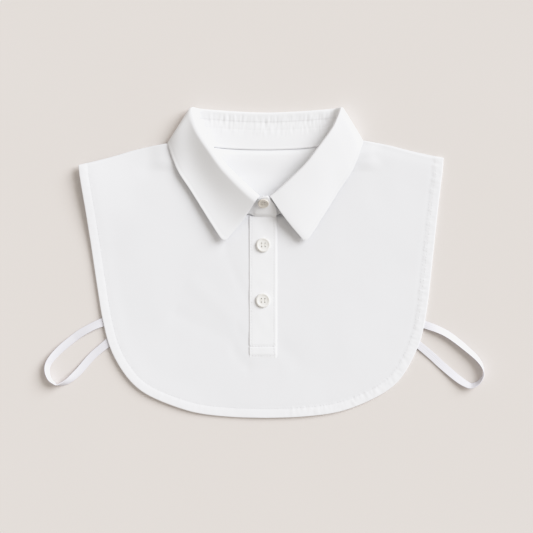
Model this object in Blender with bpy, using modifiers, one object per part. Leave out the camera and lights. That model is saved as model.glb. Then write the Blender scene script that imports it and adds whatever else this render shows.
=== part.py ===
"""A shirt-collar dickey laid flat: a front bib and a back bib on each other, a half placket, a stand
with a folded collar leaf, three buttons and two elastic side loops.

The origin is at the middle of the footprint, on the surface that the dickey lies on. +X is the
photograph's right, +Y runs towards the back of the neck and +Z is up.
"""

from collections import namedtuple
from math import atan, cos, exp, pi, radians, sin

import bmesh
import bpy
from mathutils import Vector

MM = 0.001

# Cloth, in millimetres: every table and size below is in millimetres, and make_mesh turns them into metres
CLOTH = 1.0
HEM = 1.4
HEM_WIDTH = 9.0
LEAF = 1.2
STAND = 1.4
PLACKET = 1.2
SEAM_GAP = 0.3

# Heights of the layers
BIB_OVER_LEAF = LEAF + SEAM_GAP
FRONT_OVER_BACK = HEM + SEAM_GAP + 0.1
NECK_LIFT = 1.9
NECK_LIFT_REACH = 17.0

# The back bib's rise over the leaf behind the neck: how far out it reaches, and where it starts
LEAF_RISE_HALF_WIDTH = 118.0
LEAF_RISE_SIDE = 16.0
LEAF_RISE_START = 90.0
LEAF_RISE_LENGTH = 12.0

# The left shoulder corner curls up, less far down the side than along the shoulder
CORNER_LIFT = 5.0
CORNER_REACH = 85.0
CORNER_WEIGHTS = Vector((1.25, 0.8))
CORNER_POWER = 1.4

# The bibs: both have one outline, turned a little on the collar
BIB_MIDDLE = Vector((-1.25, 3.0))
BIB_TURN = radians(0.9)
Edge = namedtuple("Edge", "half_width y")
SIDE_AND_HEM = (
    Edge(181.8, 98.2),
    Edge(180.4, 84.0),
    Edge(176.1, 54.0),
    Edge(170.9, 14.0),
    Edge(165.8, -26.0),
    Edge(161.4, -56.0),
    Edge(154.6, -84.0),
    Edge(142.5, -108.0),
    Edge(126.9, -126.0),
    Edge(104.0, -140.0),
    Edge(72.0, -152.0),
    Edge(36.0, -157.0),
    Edge(0.0, -158.3),
)
SHOULDER = (
    Edge(91.0, 118.7),
    Edge(108.8, 115.8),
    Edge(128.8, 111.5),
    Edge(148.8, 105.9),
    Edge(168.8, 101.0),
    Edge(181.8, 98.2),
)
SHOULDER_TUCK = 2.4
TUCK_START = 97.0
TUCK_REACH = 5.0

# The bibs' grids: columns in a half, rings from the neck to the hem, columns that bend with the shoulder
COLUMNS = 28
FRONT_RINGS = (0.0, 0.08, 0.2, 0.34, 0.5, 0.672, 0.84, 1.0)
BACK_RINGS = (0.0, 0.032, 0.08, 0.2, 0.4, 0.65, 0.85, 1.0)
SHOULDER_COLUMNS = 7.0
SHOULDER_STEPS = 24
HEM_STEP = 1.2

# The neck edges of the bibs, from the shoulder to the middle, about the collar's middle line
COLLAR_MIDDLE = 0.8
FOLD_SHIFT = 1.5
EDGE_SHIFT = 0.5
SHIFT_START = 70.0
SHIFT_LENGTH = 25.0
FRONT_NECK = (
    Edge(77.5, 117.0),
    Edge(75.2, 109.0),
    Edge(71.4, 96.0),
    Edge(64.0, 79.0),
    Edge(51.5, 62.6),
    Edge(31.0, 51.0),
    Edge(14.5, 48.0),
    Edge(0.0, 46.9),
)
BACK_NECK = (
    Edge(77.5, 117.0),
    Edge(69.5, 114.6),
    Edge(55.0, 112.6),
    Edge(31.0, 111.4),
    Edge(0.0, 110.9),
)

# The placket, its slash and its underlap
PLACKET_LEFT = -15.4
PLACKET_RIGHT = 13.0
PLACKET_TOP = 46.6
PLACKET_FOOT = -96.5
SLASH_INSET = 2.2
SLASH_FOOT = -82.0
SLASH_FOOT_RING = 5
Slash = namedtuple("Slash", "first last foot")
STRIP_COLUMNS = 4
STRIP_ROWS = 16

# The collar, from the middle of the back to the front end: a row for each section. The fold is the
# innermost point of the roll, turn is the side on which the leaf lies (-90 below, 90 above)
Section = namedtuple(
    "Section", "fold_x fold_y fold_z turn roll lip edge_x edge_y edge_z seam_x seam_y seam_z layer"
)
COLLAR_BACK = (
    Section(0.0, 149.6, 2.6, -90, 2.0, 8.0, 0.0, 107.0, 0.6, 0.0, 112.2, 2.4, 0),
    Section(30.8, 150.7, 2.6, -90, 2.0, 8.0, 33.0, 107.5, 0.6, 31.0, 112.8, 2.4, 0),
    Section(56.0, 152.5, 2.7, -90, 2.1, 8.0, 65.0, 109.5, 0.6, 55.0, 114.2, 2.4, 0),
    Section(66.8, 153.5, 3.0, -85, 2.2, 8.0, 90.8, 120.2, 0.6, 68.5, 116.4, 2.4, 0),
)
COLLAR_SIDE = (
    Section(72.2, 153.9, 7.4, 0, 2.6, 8.0, 95.8, 121.8, 3.8, 74.6, 117.6, 4.5, 0),
)
COLLAR_FRONT = (
    Section(72.2, 150.4, 11.6, 80, 2.8, 8.0, 96.1, 116.8, 7.2, 75.0, 114.4, 6.2, 0),
    Section(66.0, 134.5, 13.8, 90, 3.2, 8.0, 86.4, 93.0, 6.2, 70.8, 96.0, 4.8, 0),
    Section(53.4, 115.6, 14.4, 90, 3.4, 7.5, 73.2, 72.5, 5.7, 63.6, 79.4, 3.5, 0),
    Section(40.0, 97.0, 14.2, 90, 3.3, 6.5, 61.0, 52.0, 6.4, 51.2, 63.6, 2.9, 0),
    Section(18.4, 75.6, 14.6, 90, 2.7, 4.5, 49.8, 33.5, 7.3, 28.8, 52.2, 3.2, 0.5),
    Section(8.4, 67.9, 15.2, 90, 1.9, 2.7, 43.4, 24.2, 7.9, 13.0, 49.1, 3.7, 0.9),
    Section(5.7, 66.0, 15.4, 90, 1.7, 2.2, 39.0, 23.0, 8.0, 9.2, 48.4, 3.8, 1),
)
SECTION_STEPS = (3, 3, 2, 5, 5, 3, 4, 4, 4, 3, 2)
SIDE_LEAN = 1.4
SIDE_GAP = 2.0
STAND_TOP_GAP = SEAM_GAP + 0.1
STAND_SHARES = (0.0, 1 / 3, 2 / 3, 1.0)

# Across the leaf: half of its lip, the angles round its roll, then shares of the way down to its edge
LIP_SHARE = 0.45
ROLL_ANGLES = (250, 215, 180, 145, 110, 82)
LEAF_SHARES = (0.25, 0.55, 0.8, 1.0)
LEAF_CROWN = 0.9
LEAF_SAG = 2.0
SAG_START = 4.6
SAG_LENGTH = 2.0
LEAF_FRONT_BULGE = 1.6

# The lapped ends of the stand at the centre front
StandEnd = namedtuple("StandEnd", "top_x top_y seam_x")
STAND_END = (
    StandEnd(-2.5, 65.2, 2.0),
    StandEnd(-5.0, 62.6, -4.0),
    StandEnd(-9.2, 57.8, -8.6),
    StandEnd(-11.8, 52.8, -11.6),
)
STAND_SEAM_Y = 47.9
STAND_SEAM_Z = 3.7
STAND_SLOPE = 0.62
STAND_LAP = 1.25
UNDER_END_SHARE = 0.6

# Buttons
BUTTON_RADIUS = 7.1
STAND_BUTTON_RADIUS = 5.7
BUTTON_HEIGHT = 2.6
BUTTON_RIM = 1.5
BUTTON_DISH = 0.7
BUTTON_DISH_SLOPE = 0.9
BUTTON_EDGE = 0.6
BUTTON_STEPS = 32
HOLE_RADIUS = 0.65
HOLE_SPACING = 1.5
HOLE_SIDES = 8
DRILL_LENGTH = 8.0
PLACKET_BUTTONS = {"upper": (-0.6, 18.0), "lower": (-0.9, -37.3)}
STAND_BUTTON = (-0.6, 60.0)

# The elastic side loops: the outer edge of the band, how high it runs, and how far the band leans up
RIBBON_WIDTH = 7.4
RIBBON = 1.0
Band = namedtuple("Band", "x y z lean")
Sewn = namedtuple("Sewn", "start end")
LEFT_SEWN = Sewn(Vector((2.9, -8.1, 0)), Vector((-3.1, 8.0, 0)))
RIGHT_SEWN = Sewn(Vector((-2.0, -7.2, 0)), Vector((2.6, 7.4, 0)))
LEFT_LOOP = (
    Band(-163.3, -55.4, 1.3, 0),
    Band(-176.0, -61.6, 1.1, 12),
    Band(-189.1, -69.5, 0.8, 22),
    Band(-206.4, -83.9, 0.6, 35),
    Band(-217.1, -97.0, 0.6, 55),
    Band(-219.4, -107.0, 0.6, 66),
    Band(-216.2, -116.8, 0.6, 68),
    Band(-210.0, -122.0, 0.6, 64),
    Band(-203.5, -123.2, 0.6, 56),
    Band(-193.9, -119.5, 0.6, 42),
    Band(-182.9, -110.5, 0.7, 26),
    Band(-168.6, -95.3, 0.9, 12),
    Band(-155.2, -84.2, 1.3, 0),
)
RIGHT_LOOP = (
    Band(160.6, -57.4, 1.3, 0),
    Band(173.4, -61.2, 1.1, 12),
    Band(186.2, -66.9, 0.8, 24),
    Band(201.1, -79.3, 0.6, 36),
    Band(214.6, -94.4, 0.6, 54),
    Band(219.0, -108.6, 0.6, 66),
    Band(216.4, -118.2, 0.6, 68),
    Band(210.4, -124.2, 0.6, 64),
    Band(203.6, -125.4, 0.6, 52),
    Band(191.9, -119.9, 0.6, 34),
    Band(174.7, -106.1, 0.7, 20),
    Band(166.1, -97.3, 0.9, 10),
    Band(154.0, -86.2, 1.3, 0),
)
LOOP_STEPS = 5

# Looks: every piece has its own material in one of these
Look = namedtuple("Look", "colour roughness")
COTTON = Look((0.84, 0.84, 0.85), 0.85)
ELASTIC = Look((0.80, 0.79, 0.83), 0.8)
SHELL = Look((0.82, 0.80, 0.74), 0.3)


def clear_scene():
    for thing in list(bpy.data.objects):
        bpy.data.objects.remove(thing, do_unlink=True)


def material(name, look):
    made = bpy.data.materials.new(name)
    made.use_nodes = True
    shader = made.node_tree.nodes["Principled BSDF"]
    shader.inputs["Base Color"].default_value = (*look.colour, 1.0)
    shader.inputs["Roughness"].default_value = look.roughness
    shader.inputs["Metallic"].default_value = 0.0
    return made


def smooth_step(x):
    x = min(max(x, 0.0), 1.0)
    return x * x * (3.0 - 2.0 * x)


def spline(rows, t):
    """The row at t, counted in rows, on a smooth curve through a table."""
    last = len(rows) - 1
    i = min(int(t), last - 1)
    f = t - i
    four = (rows[max(i - 1, 0)], rows[i], rows[i + 1], rows[min(i + 2, last)])
    return type(rows[i])(
        *(
            b + 0.5 * f * (c - a + f * (2 * a - 5 * b + 4 * c - d + f * (3 * (b - c) + d - a)))
            for a, b, c, d in zip(*four)
        )
    )


def trace(rows, steps=24):
    """Points along the smooth curve through a table whose first two columns are x and y."""
    count = (len(rows) - 1) * steps
    return [Vector(spline(rows, k / steps)[:2]) for k in range(count + 1)]


def along(points, count):
    """Points evenly spaced along a line of points, both ends among them."""
    lengths = [0.0]
    for a, b in zip(points, points[1:]):
        lengths.append(lengths[-1] + (b - a).length)
    spaced = []
    i = 0
    for k in range(count + 1):
        wanted = lengths[-1] * k / count
        while i < len(points) - 2 and lengths[i + 1] < wanted:
            i += 1
        share = (wanted - lengths[i]) / (lengths[i + 1] - lengths[i])
        spaced.append(points[i].lerp(points[i + 1], min(share, 1.0)))
    return spaced


def cut_at_x(points, x):
    """The part of a line, from its start to where it crosses x."""
    for i, (a, b) in enumerate(zip(points, points[1:])):
        if (a.x - x) * (b.x - x) <= 0 and a.x != b.x:
            return points[: i + 1] + [a.lerp(b, (x - a.x) / (b.x - a.x))]
    raise ValueError(f"the line does not reach x = {x}")


def make_mesh(name, grid, look, holes=()):
    """An open surface from a grid of points, rows of equal length, without the cells in holes."""
    shape = bmesh.new()
    points = [[shape.verts.new(Vector(p) * MM) for p in row] for row in grid]
    for i in range(len(grid) - 1):
        for j in range(len(grid[0]) - 1):
            if (i, j) in holes:
                continue
            cell = (points[i][j], points[i][j + 1], points[i + 1][j + 1], points[i + 1][j])
            shape.faces.new(cell)
    loose = [v for v in shape.verts if not v.link_faces]
    bmesh.ops.delete(shape, geom=loose, context="VERTS")
    mesh = bpy.data.meshes.new(name)
    shape.to_mesh(mesh)
    shape.free()
    mesh.materials.append(material(name, look))
    thing = bpy.data.objects.new(name, mesh)
    parts.objects.link(thing)
    return thing


def thicken(thing, thickness, side, thin_share=None):
    """Solidify: side -1 or 1 builds to that side of the surface, 0 to both."""
    wall = thing.modifiers.new("wall", "SOLIDIFY")
    wall.thickness = thickness * MM
    wall.offset = side
    wall.use_even_offset = True
    if thin_share is not None:
        wall.vertex_group = "hem"
        wall.thickness_vertex_group = thin_share


def corner_lift(x, y):
    """The left shoulder corner curls up off the surface."""
    corner = turned(Vector((-SIDE_AND_HEM[0].half_width, SIDE_AND_HEM[0].y)))
    away = ((Vector((x, y)) - corner) * CORNER_WEIGHTS).length
    return CORNER_LIFT * smooth_step(1.0 - away / CORNER_REACH) ** CORNER_POWER


def back_height(x, y):
    """Underside of the back bib: on the surface, and over the leaf behind the neck."""
    in_from_side = smooth_step((LEAF_RISE_HALF_WIDTH - abs(x - COLLAR_MIDDLE)) / LEAF_RISE_SIDE)
    up_to_neck = smooth_step((y - LEAF_RISE_START) / LEAF_RISE_LENGTH)
    return BIB_OVER_LEAF * in_from_side * up_to_neck + corner_lift(x, y)


def front_height(x, y):
    """Underside of the front bib: over the back bib, and lifted where the collar holds it."""
    from_neck = Vector((abs(x - COLLAR_MIDDLE) - FRONT_NECK[0].half_width, y - FRONT_NECK[0].y)).length
    return back_height(x, y) + FRONT_OVER_BACK + NECK_LIFT * exp(-((from_neck / NECK_LIFT_REACH) ** 2))


def turned(point):
    """A point of the bibs' own symmetric outline, placed."""
    c, s = cos(BIB_TURN), sin(BIB_TURN)
    return BIB_MIDDLE + Vector((point.x * c - point.y * s, point.x * s + point.y * c))


def bib_lines(neck_table, side):
    """Neck edge, shoulder and outer edge of one half of a bib, each from the shoulder down or out."""
    outer = [turned(Vector((side * p.x, p.y))) for p in trace(SIDE_AND_HEM)]
    shoulder = [turned(Vector((side * p.x, p.y))) for p in trace(SHOULDER)]
    for point in shoulder:
        under_collar = (TUCK_START - abs(point.x - COLLAR_MIDDLE)) / TUCK_REACH
        point.y -= SHOULDER_TUCK * smooth_step(under_collar)
    neck = [Vector((COLLAR_MIDDLE + side * p.x, p.y)) for p in trace(neck_table)]
    return neck, [neck[0]] + shoulder, outer


def bib_grid(neck_table, height, middle_lines, rings, slash):
    """Columns of points from the neck to the outer edge, with the hem as the last two rings."""
    halves = {}
    for side in (-1, 1):
        neck, shoulder, outer = bib_lines(neck_table, side)
        reach = middle_lines[0] if side < 0 else middle_lines[-1]
        inner = along(cut_at_x(neck, reach), COLUMNS)
        outer = along(cut_at_x(outer, reach), COLUMNS)
        bend = along(shoulder, SHOULDER_STEPS)
        length = sum((b - a).length for a, b in zip(bend, bend[1:]))
        hem_share = 1.0 - HEM_WIDTH / length
        halves[side] = (inner, outer, bend, hem_share)
    neck_full = halves[-1][0] + [None] * (len(middle_lines) - 2) + halves[1][0][::-1]
    outer_full = halves[-1][1] + [None] * (len(middle_lines) - 2) + halves[1][1][::-1]
    for k, x in enumerate(middle_lines[1:-1]):
        neck_full[COLUMNS + 1 + k] = middle_point(neck_table, x, 0)
        outer_full[COLUMNS + 1 + k] = middle_point(neck_table, x, 2)
    grid = []
    last = len(outer_full) - 1
    for i, (start, end) in enumerate(zip(neck_full, outer_full)):
        tangent = (outer_full[min(i + 1, last)] - outer_full[max(i - 1, 0)]).normalized()
        inward = Vector((-tangent.y, tangent.x))
        if i in (0, last):
            _, _, bend, hem_share = halves[-1 if i == 0 else 1]
            inward = (spline_point(bend, hem_share) - end).normalized()
        hem_line = end + inward * HEM_WIDTH
        column = []
        for r in rings:
            point = start.lerp(hem_line, r)
            for side, from_end in ((-1, i), (1, last - i)):
                weight = max(0.0, 1.0 - from_end / SHOULDER_COLUMNS) ** 2
                _, _, bend, hem_share = halves[side]
                straight = bend[0].lerp(spline_point(bend, hem_share), r)
                bent = spline_point(bend, r * hem_share)
                point = point + weight * (bent - straight)
            column.append(point)
        column.append(end + inward * (HEM_WIDTH - HEM_STEP))
        column.append(end)
        if slash is not None and slash.first <= i <= slash.last:
            column[slash.foot].y = SLASH_FOOT
            for point in column:
                point.x = start.x
        grid.append([(p.x, p.y, height(p.x, p.y)) for p in column])
    return grid


def spline_point(points, share):
    at = share * (len(points) - 1)
    i = min(int(at), len(points) - 2)
    return points[i].lerp(points[i + 1], at - i)


def middle_point(neck_table, x, which):
    """Where a line at x meets the neck edge (0) or the outer edge (2)."""
    for side in (-1, 1):
        line = bib_lines(neck_table, side)[which]
        if (line[0].x - x) * (line[-1].x - x) <= 0:
            return cut_at_x(line, x)[-1]
    raise ValueError(f"no edge at x = {x}")


def make_bib(name, neck_table, height, middle_lines, rings, slash=None):
    grid = bib_grid(neck_table, height, middle_lines, rings, slash)
    holes = set()
    if slash is not None:
        holes = {(i, j) for i in range(slash.first, slash.last) for j in range(slash.foot)}
    thing = make_mesh(name, grid, COTTON, holes)
    band = thing.vertex_groups.new(name="hem")
    outline = [Vector(column[-1][:2]) for column in grid]
    edge_points = along(outline, 400)
    hem = []
    for v in thing.data.vertices:
        point = Vector((v.co.x / MM, v.co.y / MM))
        nearest = min((point - p).length for p in edge_points)
        if nearest < HEM_WIDTH - HEM_STEP / 2:
            hem.append(v.index)
    band.add(hem, 1.0, "REPLACE")
    thicken(thing, HEM, 1, CLOTH / HEM)


def collar_table():
    """The whole collar: the photograph's left half, then the right, x signed."""
    right = COLLAR_BACK + COLLAR_SIDE + COLLAR_FRONT
    left = [
        row._replace(fold_x=-row.fold_x, edge_x=-row.edge_x, seam_x=-row.seam_x, layer=-row.layer)
        for row in right[1:]
    ]
    return left[::-1] + list(right)


def collar_samples():
    middle = len(SECTION_STEPS)
    half = [0.0]
    for k, steps in enumerate(SECTION_STEPS):
        half += [k + (n + 1) / steps for n in range(steps)]
    return [middle - t for t in half[:0:-1]] + [middle + t for t in half]


def shifted(x, y, amount):
    """x from the collar's middle line, which drifts to the right towards the back."""
    return COLLAR_MIDDLE + x + amount * smooth_step((y - SHIFT_START) / SHIFT_LENGTH)


def section(table, t):
    """One section of the collar: fold, edge, seam and the two directions that its roll turns in."""
    row = spline(table, t)
    side = -1 if t < len(SECTION_STEPS) else 1
    lift = -STAND_LAP * row.layer
    fold = Vector((shifted(row.fold_x, row.fold_y, FOLD_SHIFT), row.fold_y, row.fold_z + lift))
    lean = SIDE_LEAN * side * max(0.0, cos(radians(row.turn)))
    edge_x = shifted(row.edge_x, row.edge_y, EDGE_SHIFT)
    edge = Vector((edge_x, row.edge_y + lean, max(row.edge_z, LEAF / 2)))
    seam = Vector((COLLAR_MIDDLE + row.seam_x, row.seam_y, row.seam_z + lift))
    out = Vector((edge.x - fold.x, edge.y - fold.y, 0)).normalized()
    beside = Vector((-out.y, out.x, 0)) * side
    turn = radians(row.turn)
    over = beside * cos(turn) + Vector((0, 0, sin(turn)))
    return row, fold, edge, seam, out, over


def roll_point(row, fold, out, over, angle):
    """A point of the roll: 180 degrees is the fold, 90 is the leaf's side, 270 the stand's."""
    a = radians(angle)
    return fold + out * (row.roll * (1 + cos(a))) + over * (row.roll * sin(a))


def leaf_section(table, t):
    row, fold, edge, seam, out, over = section(table, t)
    under = roll_point(row, fold, out, over, ROLL_ANGLES[0])
    lip_end = under + (seam - under).normalized() * row.lip
    points = [lip_end, under.lerp(lip_end, LIP_SHARE)]
    points += [roll_point(row, fold, out, over, a) for a in ROLL_ANGLES]
    crest = points[-1]
    to_front = smooth_step((abs(t - len(SECTION_STEPS)) - SAG_START) / SAG_LENGTH)
    crown = LEAF_CROWN * (1 - to_front) - LEAF_SAG * to_front
    for share in LEAF_SHARES:
        raised = crown * sin(pi * share) * max(0.0, sin(radians(row.turn)))
        points.append(crest.lerp(edge, share) + Vector((0, 0, raised)))
    for point in points:
        point.z = max(point.z, LEAF / 2)
    return points


def make_leaf():
    table = collar_table()
    grid = [leaf_section(table, t) for t in collar_samples()]
    for end, sign in ((0, 1), (-1, -1)):
        for point, share in zip(grid[end][-len(LEAF_SHARES):], LEAF_SHARES):
            point.x += sign * LEAF_FRONT_BULGE * sin(pi * share)
    thicken(make_mesh("collar_leaf", grid, COTTON), LEAF, 0)


def stand_plane(x, y, layer):
    return Vector((x, y, STAND_SEAM_Z + STAND_LAP * layer + STAND_SLOPE * (y - STAND_SEAM_Y)))


def stand_end(side):
    """Columns of the stand past the leaf: the left end lies on the right one."""
    layer = -side
    reach = side if side < 0 else side * UNDER_END_SHARE
    columns = []
    for row in STAND_END:
        top = stand_plane(COLLAR_MIDDLE + reach * row.top_x, row.top_y, layer)
        seam = stand_plane(COLLAR_MIDDLE + reach * row.seam_x, STAND_SEAM_Y, layer)
        columns.append([top.lerp(seam, f) for f in STAND_SHARES])
    return columns


def make_stand():
    table = collar_table()
    body = []
    for t in collar_samples():
        row, fold, edge, seam, out, over = section(table, t)
        under = roll_point(row, fold, out, over, ROLL_ANGLES[0])
        near_side = max(0.0, 1.0 - abs(abs(t - len(SECTION_STEPS)) - len(COLLAR_BACK)) / 2.0)
        top = under + (seam - under).normalized() * (row.lip + STAND_TOP_GAP + SIDE_GAP * near_side)
        body.append([top.lerp(seam, f) for f in STAND_SHARES])
    grid = stand_end(-1)[::-1] + body + stand_end(1)
    thicken(make_mesh("collar_stand", grid, COTTON), STAND, 0)


def make_strip(name, left, right, top, foot, underside, thickness):
    """A flat strip on the front bib, from the bib's own heights."""
    grid = []
    for i in range(STRIP_COLUMNS + 1):
        x = left + (right - left) * i / STRIP_COLUMNS
        ys = [top + (foot - top) * j / STRIP_ROWS for j in range(STRIP_ROWS + 1)]
        grid.append([(x, y, front_height(x, y) + underside) for y in ys])
    thicken(make_mesh(name, grid, COTTON), thickness, 1)


def make_button(name, place, tilt, radius):
    """A turned button with a raised rim and four holes, its underside at place."""
    dish = BUTTON_HEIGHT - BUTTON_DISH
    rim = radius - BUTTON_RIM
    profile = [
        (0.0, dish),
        (rim - BUTTON_DISH_SLOPE, dish),
        (rim, BUTTON_HEIGHT),
        (radius - BUTTON_EDGE, BUTTON_HEIGHT),
        (radius, BUTTON_HEIGHT - BUTTON_EDGE),
        (radius, BUTTON_EDGE),
        (radius - BUTTON_EDGE, 0.0),
        (0.0, 0.0),
    ]
    edges = [(k, k + 1) for k in range(len(profile) - 1)]
    mesh = bpy.data.meshes.new(name)
    mesh.from_pydata([(r * MM, 0, z * MM) for r, z in profile], edges, [])
    mesh.materials.append(material(name, SHELL))
    button = bpy.data.objects.new(name, mesh)
    parts.objects.link(button)
    turn = button.modifiers.new("turn", "SCREW")
    turn.steps = BUTTON_STEPS
    turn.render_steps = BUTTON_STEPS
    turn.use_merge_vertices = True
    turn.merge_threshold = 0.00001
    button.location = place * MM
    button.rotation_euler = (tilt, 0, 0)
    bpy.ops.mesh.primitive_cylinder_add(
        vertices=HOLE_SIDES, radius=HOLE_RADIUS * MM, depth=DRILL_LENGTH * MM
    )
    drill = bpy.context.object
    drill.name = name + "_drill"
    for collection in list(drill.users_collection):
        collection.objects.unlink(drill)
    cutters.objects.link(drill)
    drill.location = button.location + drill_offset(tilt)
    drill.rotation_euler = button.rotation_euler
    for axis in range(2):
        row = drill.modifiers.new("row", "ARRAY")
        row.use_relative_offset = False
        row.use_constant_offset = True
        row.constant_offset_displace = [2 * HOLE_SPACING * MM * (axis == k) for k in range(3)]
    drill.hide_render = True
    drill.display_type = "WIRE"
    cut = button.modifiers.new("holes", "BOOLEAN")
    cut.operation = "DIFFERENCE"
    cut.object = drill


def drill_offset(tilt):
    """The first hole's place in the button, for the array to start from."""
    return Vector((-HOLE_SPACING, -HOLE_SPACING * cos(tilt), -HOLE_SPACING * sin(tilt))) * MM


def make_loop(name, table, sewn):
    """An elastic band that stands up at its turn and lies flat along the hem at its sewn ends."""
    count = (len(table) - 1) * LOOP_STEPS
    rows = [spline(table, k / LOOP_STEPS) for k in range(count + 1)]
    middle = Vector((sum(r.x for r in rows) / len(rows), sum(r.y for r in rows) / len(rows)))
    grid = []
    for k, row in enumerate(rows):
        before, after = rows[max(k - 1, 0)], rows[min(k + 1, count)]
        run = Vector((after.x - before.x, after.y - before.y)).normalized()
        inward = Vector((-run.y, run.x))
        if inward.dot(middle - Vector((row.x, row.y))) < 0:
            inward = -inward
        lean = radians(row.lean)
        across = Vector((inward.x * cos(lean), inward.y * cos(lean), sin(lean))) * RIBBON_WIDTH
        near_start = max(0.0, 1.0 - k / LOOP_STEPS)
        near_end = max(0.0, 1.0 - (count - k) / LOOP_STEPS)
        across = across.lerp(sewn.start, near_start ** 2).lerp(sewn.end, near_end ** 2)
        foot = Vector((row.x, row.y, row.z))
        grid.append([foot, foot + across / 2, foot + across])
    thicken(make_mesh(name, grid, ELASTIC), RIBBON, 0)


clear_scene()
parts = bpy.data.collections.new("dickey")
cutters = bpy.data.collections.new("cutters")
for group in (parts, cutters):
    bpy.context.scene.collection.children.link(group)

slash_left = PLACKET_LEFT + SLASH_INSET
slash_right = PLACKET_RIGHT - SLASH_INSET
middle_lines = (slash_left, COLLAR_MIDDLE, slash_right)
slash = Slash(COLUMNS, COLUMNS + len(middle_lines) - 1, SLASH_FOOT_RING)
make_bib("front_bib", FRONT_NECK, front_height, middle_lines, FRONT_RINGS, slash)
make_bib("back_bib", BACK_NECK, back_height, middle_lines, BACK_RINGS)
make_stand()
make_leaf()
underlap_left = slash_left + SEAM_GAP
underlap_right = slash_right - SEAM_GAP
underlap_foot = SLASH_FOOT + SEAM_GAP
make_strip("placket_underlap", underlap_left, underlap_right, PLACKET_TOP, underlap_foot, 0.0, CLOTH)
placket_underside = CLOTH + SEAM_GAP
make_strip("placket", PLACKET_LEFT, PLACKET_RIGHT, PLACKET_TOP, PLACKET_FOOT, placket_underside, PLACKET)
for which, (x, y) in PLACKET_BUTTONS.items():
    seat = Vector((x, y, front_height(x, y) + placket_underside + PLACKET + SEAM_GAP))
    make_button("button_" + which, seat, 0.0, BUTTON_RADIUS)
slope = atan(STAND_SLOPE)
stand_normal = Vector((0, -sin(slope), cos(slope)))
seat = stand_plane(*STAND_BUTTON, 1) + stand_normal * (STAND / 2 + SEAM_GAP)
make_button("button_stand", seat, slope, STAND_BUTTON_RADIUS)
make_loop("loop_left", LEFT_LOOP, LEFT_SEWN)
make_loop("loop_right", RIGHT_LOOP, RIGHT_SEWN)
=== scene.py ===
"""The dickey laid flat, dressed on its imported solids: thin cotton shells with turned hems, puckered seams
and stitching, buttons sewn on with thread, and two woven elastic loops, seen from straight above.

Tables and sizes are in millimetres, in the frame of the solids, and MM turns them into metres.
"""

from collections import namedtuple
from math import atan, cos, exp, pi, radians, sin

import bmesh
import bpy
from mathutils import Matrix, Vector, noise


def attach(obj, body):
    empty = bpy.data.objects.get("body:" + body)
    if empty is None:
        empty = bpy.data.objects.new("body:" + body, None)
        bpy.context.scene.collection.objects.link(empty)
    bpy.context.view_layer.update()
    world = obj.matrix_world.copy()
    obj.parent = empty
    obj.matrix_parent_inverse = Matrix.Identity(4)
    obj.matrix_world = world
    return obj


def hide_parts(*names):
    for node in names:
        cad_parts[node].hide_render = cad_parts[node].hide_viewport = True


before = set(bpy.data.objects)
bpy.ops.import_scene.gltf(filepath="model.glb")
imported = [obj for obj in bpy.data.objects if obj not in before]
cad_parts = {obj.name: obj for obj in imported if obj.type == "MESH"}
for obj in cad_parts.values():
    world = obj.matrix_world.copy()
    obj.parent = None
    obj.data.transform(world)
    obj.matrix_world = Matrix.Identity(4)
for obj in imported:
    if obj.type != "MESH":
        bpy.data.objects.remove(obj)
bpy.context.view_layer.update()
MM = 0.001

# Cloth and heights of the layers, as in the solids
CLOTH = 1.0
HEM = 1.4
HEM_WIDTH = 9.0
LEAF = 1.2
STAND = 1.4
PLACKET = 1.2
SEAM_GAP = 0.3
BIB_OVER_LEAF = LEAF + SEAM_GAP
FRONT_OVER_BACK = HEM + SEAM_GAP + 0.1
NECK_LIFT = 1.9
NECK_LIFT_REACH = 17.0
LEAF_RISE_HALF_WIDTH = 118.0
LEAF_RISE_SIDE = 16.0
LEAF_RISE_START = 90.0
LEAF_RISE_LENGTH = 12.0
CORNER_LIFT = 5.0
CORNER_REACH = 85.0
CORNER_WEIGHTS = Vector((1.25, 0.8))
CORNER_POWER = 1.4

# How thick the shells are made here, and how far their edges are rounded
SHELL = 0.4
LEAF_WALL = 1.1
STAND_WALL = 0.7
RIBBON_WALL = 0.8
LEAF_ROUNDING = 0.35
STAND_ROUNDING = 0.2
RIBBON_ROUNDING = 0.25
ROUNDED_FROM = radians(60)

# Rows of the tables of relief: a rounded ridge, or a trough if negative, at a distance from an edge,
# a broad unevenness of the cloth, and puckers along a seam. Values by side are {-1: left, 1: right}
Ridge = namedtuple("Ridge", "height at width")
Wave = namedtuple("Wave", "depth length seed")
PuckerRow = namedtuple("PuckerRow", "strength at reach seed")

# The bibs' outline: placed and turned as a whole, and tilted back where the round hem begins
BIB_MIDDLE = Vector((-0.7, 3.0))
BIB_TURN = radians(1.2)
LOW_TILT = 0.018
LOW_START = {-1: -125.0, 1: -95.0}
LOW_REACH = 30.0
Edge = namedtuple("Edge", "half_width y")
SIDE_AND_HEM = (
    Edge(181.8, 98.2),
    Edge(180.4, 84.0),
    Edge(176.1, 54.0),
    Edge(170.9, 14.0),
    Edge(165.8, -26.0),
    Edge(161.4, -56.0),
    Edge(154.6, -84.0),
    Edge(142.5, -108.0),
    Edge(126.9, -126.0),
    Edge(104.0, -140.0),
    Edge(72.0, -151.7),
    Edge(36.0, -156.4),
    Edge(0.0, -157.6),
)
SHOULDER = (
    Edge(91.0, 118.7),
    Edge(108.8, 115.8),
    Edge(128.8, 111.5),
    Edge(148.8, 105.9),
    Edge(168.8, 101.0),
    Edge(181.8, 98.2),
)
SHOULDER_TUCK = 2.4
TUCK_START = 97.0
TUCK_REACH = 5.0

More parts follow.
